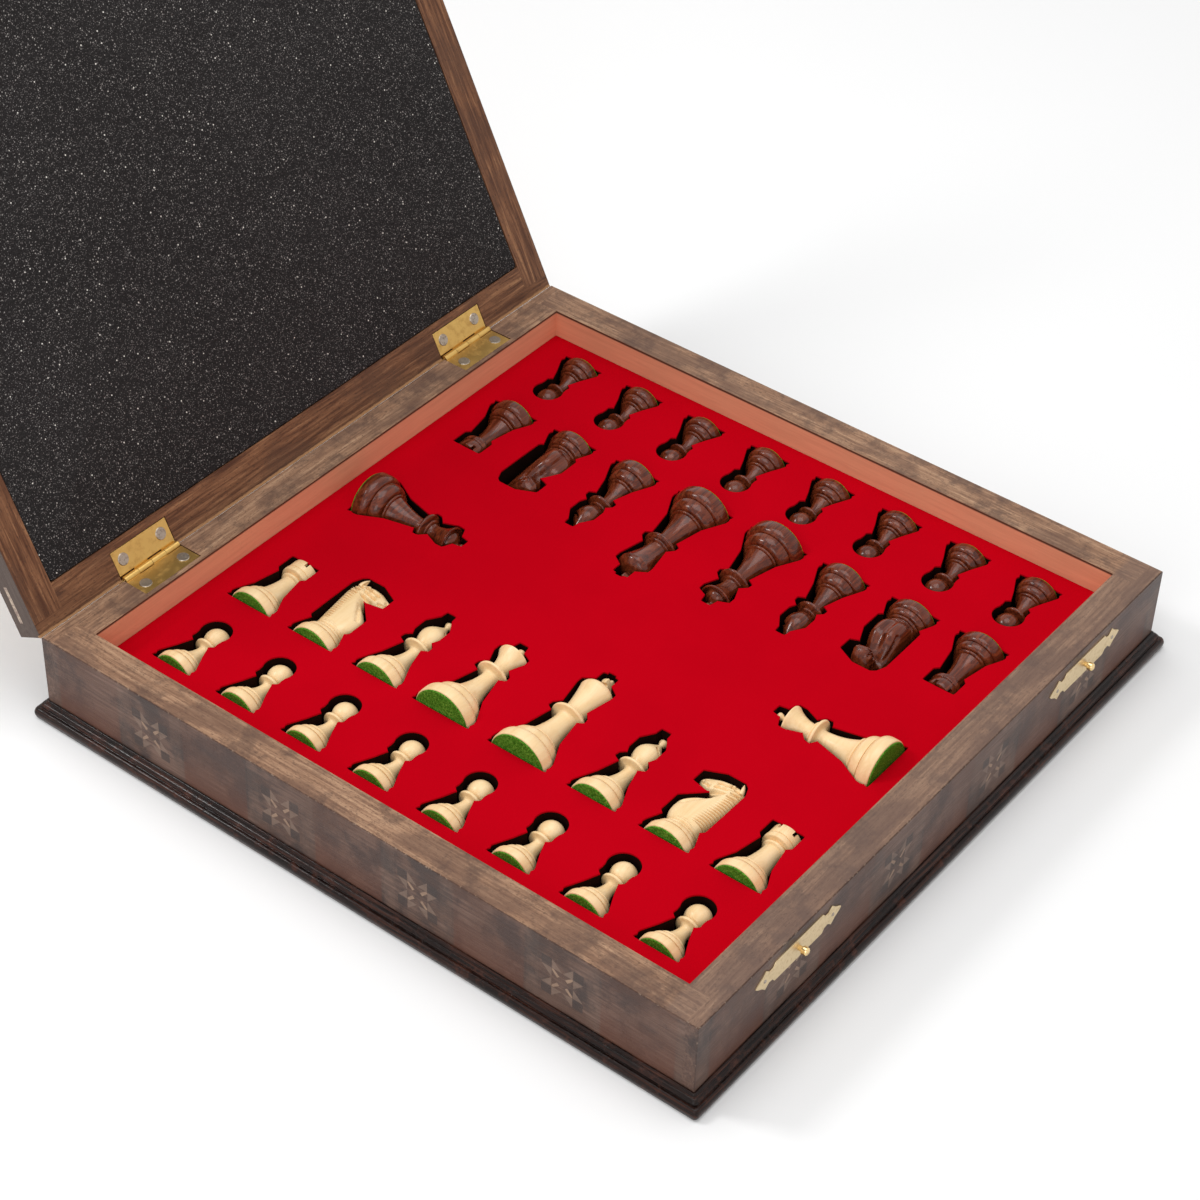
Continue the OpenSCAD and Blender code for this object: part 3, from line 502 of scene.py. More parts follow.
class Graph:
    """Writes nodes into one node tree."""

    def __init__(self, tree: bpy.types.NodeTree) -> None:
        """Starts on a tree.

        Args:
            tree: A material's tree or a group's tree.
        """
        self.tree = tree

    def node(self, kind: str, inputs: Optional[dict] = None, **settings: object) -> bpy.types.Node:
        """Adds a node.

        Args:
            kind: Its type, without the leading word ShaderNode.
            inputs: Values or sockets by input name or number.
            settings: The node's own properties.

        Returns:
            The node.
        """
        made = self.tree.nodes.new("ShaderNode" + kind)
        for name, value in settings.items():
            setattr(made, name, value)
        for name, value in (inputs or {}).items():
            self.put(made.inputs[name], value)
        return made

    def group(self, tree: bpy.types.NodeTree, inputs: dict) -> bpy.types.NodeOutputs:
        """Places a node group and returns its outputs.

        Args:
            tree: The group.
            inputs: Values or sockets by input name.
        """
        return self.node("Group", inputs, node_tree=tree).outputs

    def put(self, target: Socket, value: object) -> None:
        """Sets a socket to a value, or links it to another socket.

        Args:
            target: The input socket.
            value: A number, a colour, a vector or an output socket.
        """
        if isinstance(value, bpy.types.NodeSocket):
            self.tree.links.new(value, target)
        elif target.type == "RGBA":
            target.default_value = (*value, 1.0)
        else:
            target.default_value = value

    def math(self, operation: str, *values: object, clamp: bool = False) -> Socket:
        """A Math node's result.

        Args:
            operation: The operation's name.
            values: Its inputs in order.
            clamp: Whether the result is kept from 0 to 1.
        """
        return self.node("Math", dict(enumerate(values)), operation=operation, use_clamp=clamp).outputs[0]

    def plus(self, first: object, second: object) -> Socket:
        """The sum of two numbers."""
        return self.math("ADD", first, second)

    def minus(self, first: object, second: object) -> Socket:
        """The first number less the second."""
        return self.math("SUBTRACT", first, second)

    def times(self, first: object, second: object) -> Socket:
        """The product of two numbers."""
        return self.math("MULTIPLY", first, second)

    def larger(self, first: object, second: object) -> Socket:
        """The larger of two numbers."""
        return self.math("MAXIMUM", first, second)

    def size(self, value: object) -> Socket:
        """A number without its sign."""
        return self.math("ABSOLUTE", value)

    def vector(self, operation: str, *values: object) -> Socket:
        """A Vector Math node's vector result."""
        return self.node("VectorMath", dict(enumerate(values)), operation=operation).outputs[0]

    def split(self, vector: Socket) -> tuple[Socket, Socket, Socket]:
        """The three parts of a vector."""
        made = self.node("SeparateXYZ", {0: vector})
        return made.outputs[0], made.outputs[1], made.outputs[2]

    def join(self, x: object, y: object, z: object) -> Socket:
        """A vector from three parts."""
        return self.node("CombineXYZ", {0: x, 1: y, 2: z}).outputs[0]

    def noise(self, vector: Socket, scale: float, detail: float = 3.0, roughness: float = 0.55,
              distortion: float = 0.0) -> Socket:
        """A noise texture's value.

        Args:
            vector: Where it is read.
            scale: Its scale.
            detail: Octaves.
            roughness: Weight of the finer octaves.
            distortion: How far it is bent.
        """
        inputs = {"Vector": vector, "Scale": scale, "Detail": detail, "Roughness": roughness,
                  "Distortion": distortion}
        return self.node("TexNoise", inputs).outputs["Fac"]

    def cells(self, vector: Socket, scale: float) -> bpy.types.NodeOutputs:
        """A Voronoi texture's outputs: the distance to the nearest seed, and a colour for each cell."""
        return self.node("TexVoronoi", {"Vector": vector, "Scale": scale}).outputs

    def band(self, value: object, low: float, high: float, start: float = 0.0, end: float = 1.0) -> Socket:
        """Maps a value smoothly from one range to another, and clamps it.

        Args:
            value: The value.
            low: Where the result is start.
            high: Where the result is end.
            start: Result at low.
            end: Result at high.
        """
        inputs = {"Value": value, "From Min": low, "From Max": high, "To Min": start, "To Max": end}
        return self.node("MapRange", inputs, interpolation_type="SMOOTHSTEP").outputs[0]

    def ramp(self, value: Socket, stops: Sequence[tuple[float, Colour]]) -> Socket:
        """A colour ramp's colour.

        Args:
            value: Where on the ramp.
            stops: Places and colours.
        """
        made = self.node("ValToRGB", {0: value})
        elements = made.color_ramp.elements
        while len(elements) < len(stops):
            elements.new(0.5)
        for element, (place, colour) in zip(elements, stops):
            element.position = place
            element.color = (*colour, 1.0)
        return made.outputs[0]

    def mix(self, factor: object, first: object, second: object) -> Socket:
        """A mix of two colours.

        Args:
            factor: Share of the second.
            first: Colour or socket.
            second: Colour or socket.
        """
        return self.node("Mix", {0: factor, 6: first, 7: second}, data_type="RGBA").outputs[2]

    def choose(self, factor: object, first: object, second: object) -> Socket:
        """The first number where the factor is 0, and the second where it is 1."""
        return self.node("Mix", {0: factor, 2: first, 3: second}, data_type="FLOAT").outputs[0]

    def bump(self, height: Socket, distance: float, strength: float = 1.0) -> Socket:
        """A bump node's normal.

        Args:
            height: From 0 to 1.
            distance: Height of the relief, in metres.
            strength: Its strength.
        """
        inputs = {"Height": height, "Distance": distance, "Strength": strength}
        return self.node("Bump", inputs).outputs[0]


class GroupMaker:
    """Builds the node groups that several finishes share, each once."""

    def __init__(self) -> None:
        """Starts with no group made."""
        self.made: dict[str, bpy.types.NodeTree] = {}

    def start(self, name: str, inputs: Sequence[tuple[str, str, object]],
              outputs: Sequence[str]) -> tuple[Graph, bpy.types.NodeOutputs, bpy.types.NodeInputs]:
        """Starts a group tree with its sockets.

        Args:
            name: The group's name.
            inputs: Name, type and default value of each input.
            outputs: Names of the outputs, which are numbers.

        Returns:
            A graph on the tree, the sockets that bring its inputs, and those that take its results.
        """
        tree = bpy.data.node_groups.new(name, "ShaderNodeTree")
        for label, kind, default in inputs:
            made = tree.interface.new_socket(label, in_out="INPUT", socket_type="NodeSocket" + kind)
            if default is not None:
                made.default_value = default
        for label in outputs:
            tree.interface.new_socket(label, in_out="OUTPUT", socket_type="NodeSocketFloat")
        self.made[name] = tree
        return Graph(tree), tree.nodes.new("NodeGroupInput").outputs, tree.nodes.new("NodeGroupOutput").inputs

    def grain(self) -> bpy.types.NodeTree:
        """Wood grain along X: long streaks, short pores and slow drifts of tone, read in millimetres."""
        if "wood_grain" in self.made:
            return self.made["wood_grain"]
        inputs = [("Vector", "Vector", None), ("Width", "Float", 1.0)]
        graph, source, result = self.start("wood_grain", inputs, ("Streak", "Pore", "Drift"))
        x, y, z = graph.split(source["Vector"])
        across = graph.math("DIVIDE", y, source["Width"])
        through = graph.math("DIVIDE", z, source["Width"])

        def drawn(squeeze: float) -> Socket:
            """The place with its way along the grain squeezed, which draws a noise out along it."""
            return graph.join(graph.times(x, squeeze), across, through)

        graph.put(result["Streak"], graph.band(graph.noise(drawn(0.045), 0.62, 5.0, 0.62, 0.5), 0.3, 0.7))
        graph.put(result["Pore"], graph.band(graph.noise(drawn(0.26), 1.9, 2.0, 0.55), 0.56, 0.68))
        graph.put(result["Drift"], graph.band(graph.noise(drawn(0.5), 0.045, 4.0, 0.6), 0.3, 0.7))
        return self.made["wood_grain"]

    def wear_and_highlight(self) -> bpy.types.NodeTree:
        """Worn edges of a box-shaped board: one mask for their wear and for painted highlights along the
        arrises.

        The nearest face of the box is found on each axis. The second smallest of the three distances is
        the distance to the nearest edge, and a noise breaks the worn line up.
        """
        if "edge_wear_and_highlight" in self.made:
            return self.made["edge_wear_and_highlight"]
        inputs = [("Vector", "Vector", None), ("Low", "Vector", (0, 0, 0)), ("High", "Vector", (1, 1, 1)),
                  ("Reach", "Float", 1.5), ("Break", "Float", 0.5)]
        graph, source, result = self.start("edge_wear_and_highlight", inputs, ("Worn",))
        place = source["Vector"]
        to_low = graph.vector("ABSOLUTE", graph.vector("SUBTRACT", place, source["Low"]))
        to_high = graph.vector("ABSOLUTE", graph.vector("SUBTRACT", place, source["High"]))
        x, y, z = graph.split(graph.vector("MINIMUM", to_low, to_high))
        second = graph.larger(graph.math("MINIMUM", x, y), graph.math("MINIMUM", graph.larger(x, y), z))
        spread = graph.times(graph.band(graph.noise(place, 0.35, 4.0, 0.65), 0.3, 0.75), source["Break"])
        reach = graph.larger(graph.times(source["Reach"], graph.minus(1.0, spread)), 0.01)
        graph.put(result["Worn"], graph.band(graph.math("DIVIDE", second, reach), 0.35, 1.0, 1.0, 0.0))
        return self.made["edge_wear_and_highlight"]

    def star(self) -> bpy.types.NodeTree:
        """Masks of one star block in a band that repeats along U, read in millimetres.

        The block is four cells each way. Its corner cells are dark, the side cells hold a light half
        square each, and the four middle cells a bright dart that points outward. Further out come a
        fine string and then the panel.
        """
        if "star_block" in self.made:
            return self.made["star_block"]
        cell, half = 6.0, 12.0
        string_from, string_to, panel_from, panel_full = 13.2, 20.8, 21.0, 22.5
        inputs = [("U", "Float", 0.0), ("V", "Float", 0.0), ("Pitch", "Float", 84.6)]
        outputs = ("Bright", "Pale", "Dark", "Panel", "String")
        graph, source, result = self.start("star_block", inputs, outputs)
        pitch = source["Pitch"]
        ahead = graph.plus(source["U"], graph.times(pitch, 40.0))
        u = graph.size(graph.math("PINGPONG", ahead, graph.math("DIVIDE", pitch, 2.0)))
        v = graph.size(source["V"])
        low, high = graph.math("MINIMUM", u, v), graph.larger(u, v)

        def above(value: Socket, limit: object) -> Socket:
            """A mask of where value passes limit, over a soft step."""
            return graph.math("MULTIPLY", graph.minus(value, limit), 4.0, clamp=True)

        in_block = above(graph.minus(half, high), 0.0)
        side = graph.times(above(high, cell), above(graph.minus(cell, low), 0.0))
        pale = graph.times(side, above(graph.plus(low, cell), high))
        middle = above(graph.minus(cell, high), 0.0)
        dart = graph.times(above(graph.plus(graph.times(low, 0.9), 1.6), high),
                           above(graph.plus(low, high), 4.4))
        string = graph.times(graph.band(u, string_from, string_from + 0.8),
                             graph.band(u, string_to - 0.8, string_to, 1.0, 0.0))
        masks = (graph.times(middle, dart), graph.times(pale, in_block),
                 graph.times(above(low, cell), in_block), graph.band(u, panel_from, panel_full), string)
        for name, mask in zip(outputs, masks):
            graph.put(result[name], mask)
        return self.made["star_block"]


GROUPS = GroupMaker()


def turned_to_closed(graph: Graph, place: Socket) -> Socket:
    """Coordinates of the open lid, turned back about the hinge pins to those of the closed lid.

    Args:
        graph: The material's graph.
        place: Object coordinates in millimetres.
    """
    pins = (0.0, SIZES.half_width, SIZES.pin_height)
    inputs = {"Vector": graph.vector("SUBTRACT", place, pins), "Axis": (1.0, 0.0, 0.0),
              "Angle": math.radians(SIZES.lid_angle)}
    turn = graph.node("VectorRotate", inputs, rotation_type="AXIS_ANGLE")
    return graph.vector("ADD", turn.outputs[0], pins)


def grain_of(graph: Graph, place: Socket, axis: int = 0, width: float = 1.0) -> list[Socket]:
    """The streaks, pores and drift of wood whose grain runs along an axis.

    Args:
        graph: The material's graph.
        place: Coordinates in millimetres.
        axis: 0 for X, 1 for Y.
        width: Width of the streaks.
    """
    x, y, z = graph.split(place)
    vector = graph.join(y, x, z) if axis else graph.join(x, y, z)
    outputs = graph.group(GROUPS.grain(), {"Vector": vector, "Width": width})
    return [outputs[name] for name in ("Streak", "Pore", "Drift")]


def wood_relief(graph: Graph, streak: Socket, pore: Socket, depth: float, strength: float) -> Socket:
    """The normal of wood whose streaks stand up and whose pores sink in."""
    return graph.bump(graph.minus(graph.times(streak, 0.4), pore), depth, strength)


def outer_faces(graph: Graph, x: Socket, y: Socket) -> Socket:
    """A mask of the box's four outer faces, where the larger of X and Y reaches its half width."""
    reach = graph.larger(graph.size(x), graph.size(y))
    return graph.band(reach, SIZES.half_width - 0.4, SIZES.half_width - 0.2)


# ------------------------------------------------------------- the finishes


@dataclass(frozen=True)
class Finish:
    """What every finish shares: its name, the plain values of its shader, and how its material is made."""

    name: str
    roughness: float = 0.5
    metallic: float = 0.0
    specular: float = 0.5
    coat: float = 0.0
    coat_roughness: float = 0.1

    def material(self) -> bpy.types.Material:
        """Builds the material and returns it."""
        material = bpy.data.materials.new(self.name)
        material.use_nodes = True
        graph = Graph(material.node_tree)
        shader = material.node_tree.nodes["Principled BSDF"]
        plain = {"Roughness": self.roughness, "Metallic": self.metallic, "Specular IOR Level": self.specular,
                 "Coat Weight": self.coat, "Coat Roughness": self.coat_roughness}
        coordinates = graph.node("TexCoord").outputs["Object"]
        place = graph.node("Mapping", {"Vector": coordinates, "Scale": (1 / MM, 1 / MM, 1 / MM)}).outputs[0]
        for inputs in (plain, self.paint(graph, place)):
            for name, value in inputs.items():
                graph.put(shader.inputs[name], value)
        return material

    def paint(self, graph: Graph, place: Socket) -> dict[str, Socket]:
        """Writes what changes over the surface.

        Args:
            graph: The material's graph.
            place: Object coordinates in millimetres.

        Returns:
            Sockets by the name of the shader's input.
        """
        raise NotImplementedError


@dataclass(frozen=True)
class WallFinish(Finish):
    """Stained beech of the base: brown on top, grey-brown outside with its star inlay, bare inside."""

    axis: int = 0
    inlay_shift: float = 0.0
    block_pitch: float = 84.6
    block_height: float = 29.5

    def paint(self, graph: Graph, place: Socket) -> dict[str, Socket]:
        """Writes the colours of the three faces, the worn edges with pale chips that are partly painted
        highlights on the arrises, the roughness and the relief.
        """
        half, high = SIZES.half_width, SIZES.base_height
        x, y, z = graph.split(place)
        streak, pore, drift = grain_of(graph, place, self.axis)
        outside = outer_faces(graph, x, y)
        inner = graph.mix(graph.times(streak, 0.35), srgb(236, 166, 130), srgb(206, 136, 104))
        inner = graph.mix(graph.band(z, high - 1.9, high - 1.0), inner, srgb(92, 62, 46))
        top = self.top_colour(graph, place, (streak, pore, drift))
        colour = graph.mix(graph.band(z, high - 0.25, high - 0.1), inner, top)
        colour = graph.mix(outside, colour, self.outer_colour(graph, place, streak, drift))
        edges = {"Low": (-half, -half, 0), "High": (half, half, high), "Reach": 1.2, "Break": 0.85}
        worn = graph.group(GROUPS.wear_and_highlight(), {"Vector": place, **edges})["Worn"]
        colour = graph.mix(graph.times(worn, 0.45), colour, srgb(58, 42, 36))
        # pale chips along the worn outer arrises: partly real chipping, partly a painted highlight where a
        # rounded arris would catch the light
        pale_chips_and_highlight = graph.band(graph.noise(place, 0.55, 4.0, 0.7), 0.56, 0.64, 0.0, 0.5)
        colour = graph.mix(graph.times(worn, pale_chips_and_highlight), colour, srgb(176, 152, 132))
        return {"Base Color": colour, "Roughness": graph.plus(graph.times(outside, -0.16), 0.56),
                "Normal": wood_relief(graph, streak, pore, 0.00012, 0.7)}

    @staticmethod
    def top_colour(graph: Graph, place: Socket, grain: Sequence[Socket]) -> Socket:
        """The top face: brown stain with dark pores and stained patches, greyer on the front wall.

        Args:
            graph: The material's graph.
            place: Object coordinates in millimetres.
            grain: The grain's streaks, pores and drift.
        """
        streak, pore, drift = grain
        top = graph.ramp(streak, [(0.0, srgb(126, 94, 74)), (0.45, srgb(152, 117, 92)),
                                  (0.8, srgb(168, 132, 105)), (1.0, srgb(184, 148, 118))])
        top = graph.mix(graph.times(pore, 0.6), top, srgb(76, 54, 44))
        top = graph.mix(graph.band(drift, 0.3, 0.85, 0.0, 0.6), top, srgb(100, 74, 62))
        stain = graph.noise(place, 0.07, 5.0, 0.7)
        top = graph.mix(graph.band(stain, 0.46, 0.66, 0.0, 0.6), top, srgb(84, 64, 56))
        joint = SIZES.wall - SIZES.half_width
        front = graph.band(graph.split(place)[1], joint + 2, joint - 2, 0.0, 0.5)
        return graph.mix(front, top, srgb(104, 86, 79))

    def outer_colour(self, graph: Graph, place: Socket, streak: Socket, drift: Socket) -> Socket:
        """The outer face: grey-brown stain over reddish panels, with four star blocks.

        Args:
            graph: The material's graph.
            place: Object coordinates in millimetres.
            streak: The grain's streaks.
            drift: The grain's slow drift.
        """
        x, y, z = graph.split(place)
        along = y if self.axis else x
        reach = 2 * self.block_pitch
        centred = graph.minus(along, self.block_pitch / 2 + self.inlay_shift)
        block = graph.group(GROUPS.star(), {"U": centred, "V": graph.minus(z, self.block_height),
                                            "Pitch": self.block_pitch})
        base = graph.ramp(streak, [(0.0, srgb(88, 68, 60)), (0.6, srgb(108, 84, 73)),
                                   (1.0, srgb(124, 98, 86))])
        smoke = graph.noise(place, 0.035, 4.0, 0.65)
        base = graph.mix(graph.band(smoke, 0.42, 0.62, 0.0, 0.8), base, srgb(58, 50, 49))
        base = graph.mix(graph.band(drift, 0.3, 0.9, 0.0, 0.5), base, srgb(84, 60, 50))
        red = graph.times(block["Panel"], graph.band(z, 14.0, 38.0, 0.75, 0.2))
        base = graph.mix(graph.times(red, 0.8), base, srgb(100, 62, 48))
        base = graph.mix(graph.times(block["String"], 0.1), base, srgb(124, 102, 90))
        inlaid = graph.band(graph.size(along), reach, reach + 1, 1.0, 0.0)
        fade = graph.times(inlaid, graph.band(graph.noise(place, 0.25, 3.0), 0.2, 0.8, 0.55, 1.0))
        base = graph.mix(graph.times(graph.times(block["Dark"], 0.75), inlaid), base, srgb(66, 56, 53))
        base = graph.mix(graph.times(graph.times(block["Pale"], 0.75), fade), base, srgb(134, 112, 98))
        return graph.mix(graph.times(block["Bright"], fade), base, srgb(160, 132, 110))


@dataclass(frozen=True)
class LidFinish(Finish):
    """Dark brown stain of the lid's rails, with light streaks and worn edges."""

    axis: int = 0

    def paint(self, graph: Graph, place: Socket) -> dict[str, Socket]:
        """Writes the colours of the inner and outer faces and the relief, in the closed lid's place."""
        place = turned_to_closed(graph, place)
        x, y, _ = graph.split(place)
        streak, pore, drift = grain_of(graph, place, self.axis, 1.25)
        face = graph.ramp(streak, [(0.0, srgb(82, 50, 34)), (0.5, srgb(116, 78, 54)),
                                   (0.85, srgb(136, 94, 66)), (1.0, srgb(158, 116, 82))])
        face = graph.mix(graph.times(pore, 0.5), face, srgb(48, 32, 26))
        face = graph.mix(graph.band(drift, 0.4, 0.9, 0.0, 0.5), face, srgb(80, 54, 42))
        outer = graph.mix(graph.times(streak, 0.4), srgb(84, 70, 64), srgb(110, 96, 88))
        colour = graph.mix(outer_faces(graph, x, y), face, outer)
        colour = self.end_dash(graph, place, self.worn_line(graph, place, colour))
        return {"Base Color": colour, "Normal": wood_relief(graph, streak, pore, 0.00012, 0.7)}

    @staticmethod
    def worn_line(graph: Graph, place: Socket, colour: Socket) -> Socket:
        """Bare wood along the rear lower edge, where the stain has rubbed off.

        Args:
            graph: The material's graph.
            place: Coordinates of the closed lid in millimetres.
            colour: The colour so far.
        """
        _, y, z = graph.split(place)
        from_edge = graph.larger(graph.minus(SIZES.half_width, y), graph.minus(z, SIZES.lid_bottom))
        ragged = graph.times(graph.noise(place, 0.3, 4.0, 0.7), 1.5)
        bare = graph.band(graph.plus(from_edge, ragged), 1.7, 2.2, 1.0, 0.0)
        return graph.mix(graph.times(bare, 0.85), colour, srgb(176, 132, 92))

    @staticmethod
    def end_dash(graph: Graph, place: Socket, colour: Socket) -> Socket:
        """A short mosaic dash let into the lid's two ends near each of their corners.

        Args:
            graph: The material's graph.
            place: Coordinates of the closed lid in millimetres.
            colour: The colour so far.
        """
        x, y, z = graph.split(place)

        def between(value: Socket, low: float, high: float) -> Socket:
            """A mask of where a value lies between two limits, over soft steps."""
            rise, fall = graph.band(value, low, low + 0.3), graph.band(value, high - 0.3, high, 1.0, 0.0)
            return graph.times(rise, fall)

        along = between(graph.minus(SIZES.half_width, graph.size(y)), 7.8, 28.4)
        across = between(graph.minus(z, SIZES.lid_bottom), 8.8, 11.4)
        end = graph.band(graph.size(x), SIZES.half_width - 0.3, SIZES.half_width - 0.1)
        chance = graph.split(graph.cells(place, 1.1)["Color"])[0]
        tone = graph.mix(chance, srgb(150, 128, 118), srgb(205, 186, 164))
        return graph.mix(graph.times(graph.times(along, across), end), colour, tone)


@dataclass(frozen=True)
class LacquerFinish(Finish):
    """Glossy very dark lacquer of the skirt moulding, streaked by the grain under it."""

    def paint(self, graph: Graph, place: Socket) -> dict[str, Socket]:
        """Writes the colour, the roughness and the relief, with the grain along each strip."""
        x, y, z = graph.split(place)
        flip = graph.math("GREATER_THAN", graph.size(x), graph.size(y))
        strip = graph.join(graph.choose(flip, x, y), graph.choose(flip, y, x), z)
        streak, pore, _ = grain_of(graph, strip, width=0.9)
        colour = graph.ramp(streak, [(0.0, srgb(16, 8, 6)), (0.6, srgb(32, 17, 13)), (1.0, srgb(66, 36, 25))])
        rubbed = graph.band(graph.noise(place, 0.12, 5.0, 0.7), 0.52, 0.72, 0.0, 0.55)
        height = graph.plus(graph.times(streak, 0.5), graph.times(pore, -0.8))
        return {"Base Color": graph.mix(rubbed, colour, srgb(92, 52, 38)),
                "Roughness": graph.band(graph.noise(place, 0.4, 3.0), 0.2, 0.8, 0.12, 0.26),
                "Normal": graph.bump(height, 0.00007, 0.8)}


@dataclass(frozen=True)
class FlockFinish(Finish):
    """Short-piled flock: one strong colour with a fine nap."""

    colour: Colour = (0.5, 0.0, 0.01)
    nap: float = 0.12

    def paint(self, graph: Graph, place: Socket) -> dict[str, Socket]:
        """Writes the colour of the nap and its relief."""
        fibre = graph.noise(place, 2.6, 4.0, 0.7)
        dark = tuple(part * (1 - 1.6 * self.nap) for part in self.colour)
        light = tuple(min(1.0, part * (1 + self.nap) + 0.004) for part in self.colour)
        colour = graph.ramp(fibre, [(0.25, dark), (0.5, self.colour), (0.8, light)])
        colour = graph.mix(graph.band(graph.noise(place, 0.02, 3.0), 0.35, 0.7, 0.0, 0.25), colour, dark)
        return {"Base Color": colour, "Normal": graph.bump(fibre, 0.00012, 0.6)}


@dataclass(frozen=True)
class CavityFoamFinish(Finish):
    """Black closed-cell foam of the cavities, faintly brown where light grazes the cut."""

    def paint(self, graph: Graph, place: Socket) -> dict[str, Socket]:
        """Writes the colour and the relief of the foam's cells."""
        colour = graph.mix(graph.noise(place, 0.15, 3.0), srgb(20, 11, 9), srgb(38, 22, 17))
        return {"Base Color": colour, "Normal": graph.bump(graph.cells(place, 1.6)["Distance"], 0.0003, 0.5)}


@dataclass(frozen=True)
class GlitterFoamFinish(Finish):
    """Charcoal foam of the lid with silver flecks in it: many tiny ones and a few larger ones."""

    def paint(self, graph: Graph, place: Socket) -> dict[str, Socket]:
        """Writes the foam's colour, then its flecks from the smallest to the largest, and the relief."""
        fine = graph.noise(place, 1.7, 3.0, 0.65)
        colour = graph.ramp(fine, [(0.3, srgb(28, 26, 26)), (0.55, srgb(48, 46, 46)),
                                   (0.8, srgb(78, 75, 75))])
        cloud = graph.band(graph.noise(place, 0.012, 2.0), 0.3, 0.7, 0.0, 0.3)
        colour = graph.mix(cloud, colour, srgb(34, 32, 32))
        flecks = ((1.25, 0.36, 0.4, srgb(118, 114, 112)), (0.6, 0.25, 0.62, srgb(160, 156, 152)),
                  (0.24, 0.12, 0.6, srgb(232, 228, 220)))
        for scale, radius, bare_share, bright in flecks:
            cells = graph.cells(place, scale)
            near = graph.band(cells["Distance"], radius * 0.6, radius, 1.0, 0.0)
            lucky = graph.math("GREATER_THAN", graph.split(cells["Color"])[0], bare_share)
            colour = graph.mix(graph.times(near, lucky), colour, bright)
        return {"Base Color": colour, "Normal": graph.bump(fine, 0.0002, 0.6)}


@dataclass(frozen=True)
class PlainWoodFinish(Finish):
    """Wood in three tones from dark to light, with grain along X."""

    tones: tuple[Colour, Colour, Colour] = ((0.1, 0.05, 0.03), (0.2, 0.1, 0.06), (0.3, 0.18, 0.1))
    width: float = 1.0
    pores: float = 0.4
    on_lid: bool = False
    relief: float = 0.00006

    def paint(self, graph: Graph, place: Socket) -> dict[str, Socket]:
        """Writes the colour of the grain and its relief."""
        if self.on_lid:
            place = turned_to_closed(graph, place)
        streak, pore, drift = grain_of(graph, place, width=self.width)
        dark, middle, light = self.tones
        colour = graph.ramp(streak, [(0.0, dark), (0.5, middle), (1.0, light)])
        colour = graph.mix(graph.times(pore, self.pores), colour, dark)
        colour = graph.mix(graph.band(drift, 0.2, 0.9, 0.0, 0.35), colour, middle)
        return {"Base Color": colour, "Normal": wood_relief(graph, streak, pore, self.relief, 0.6)}


@dataclass(frozen=True)
class FeltFinish(Finish):
    """Mottled green felt under the men."""

    def paint(self, graph: Graph, place: Socket) -> dict[str, Socket]:
        """Writes the colour of the fibres and their relief."""
        fibre = graph.noise(place, 1.1, 5.0, 0.8)
        colour = graph.ramp(fibre, [(0.32, srgb(28, 60, 10)), (0.5, srgb(72, 132, 36)),
                                    (0.68, srgb(134, 190, 74))])
        return {"Base Color": colour, "Normal": graph.bump(fibre, 0.0004, 0.9)}


@dataclass(frozen=True)
class MetalFinish(Finish):
    """Metal with a brushed or cast tone and a dull film that gathers in patches."""

    colour: Colour = (0.8, 0.6, 0.3)
    film: Colour = (0.3, 0.2, 0.1)
    film_share: float = 0.35
    grain_scale: float = 0.6
    relief: float = 0.00002

    def paint(self, graph: Graph, place: Socket) -> dict[str, Socket]:
        """Writes the film over the bare metal, the roughness that it adds, and the relief."""
        share = graph.band(graph.noise(place, self.grain_scale, 4.0, 0.65), 0.45, 0.75, 0.0, self.film_share)
        return {"Base Color": graph.mix(share, self.colour, self.film),
                "Roughness": graph.plus(graph.times(share, 0.5), self.roughness),
                "Normal": graph.bump(graph.noise(place, 6.0, 2.0), self.relief, 0.5)}


BOXWOOD = (srgb(236, 200, 146), srgb(244, 211, 160), srgb(248, 218, 170))
SHEESHAM = (srgb(60, 21, 10), srgb(98, 40, 19), srgb(122, 58, 32))
WALNUT = (srgb(54, 32, 24), srgb(82, 52, 38), srgb(112, 76, 54))
MAPLE = (srgb(196, 158, 108), srgb(216, 182, 132), srgb(230, 200, 152))
MAHOGANY = (srgb(70, 36, 24), srgb(104, 60, 38), srgb(134, 84, 54))
PLYWOOD = (srgb(150, 118, 84), srgb(176, 142, 104), srgb(196, 164, 124))


# ------------------------------------------------------------- the chessmen


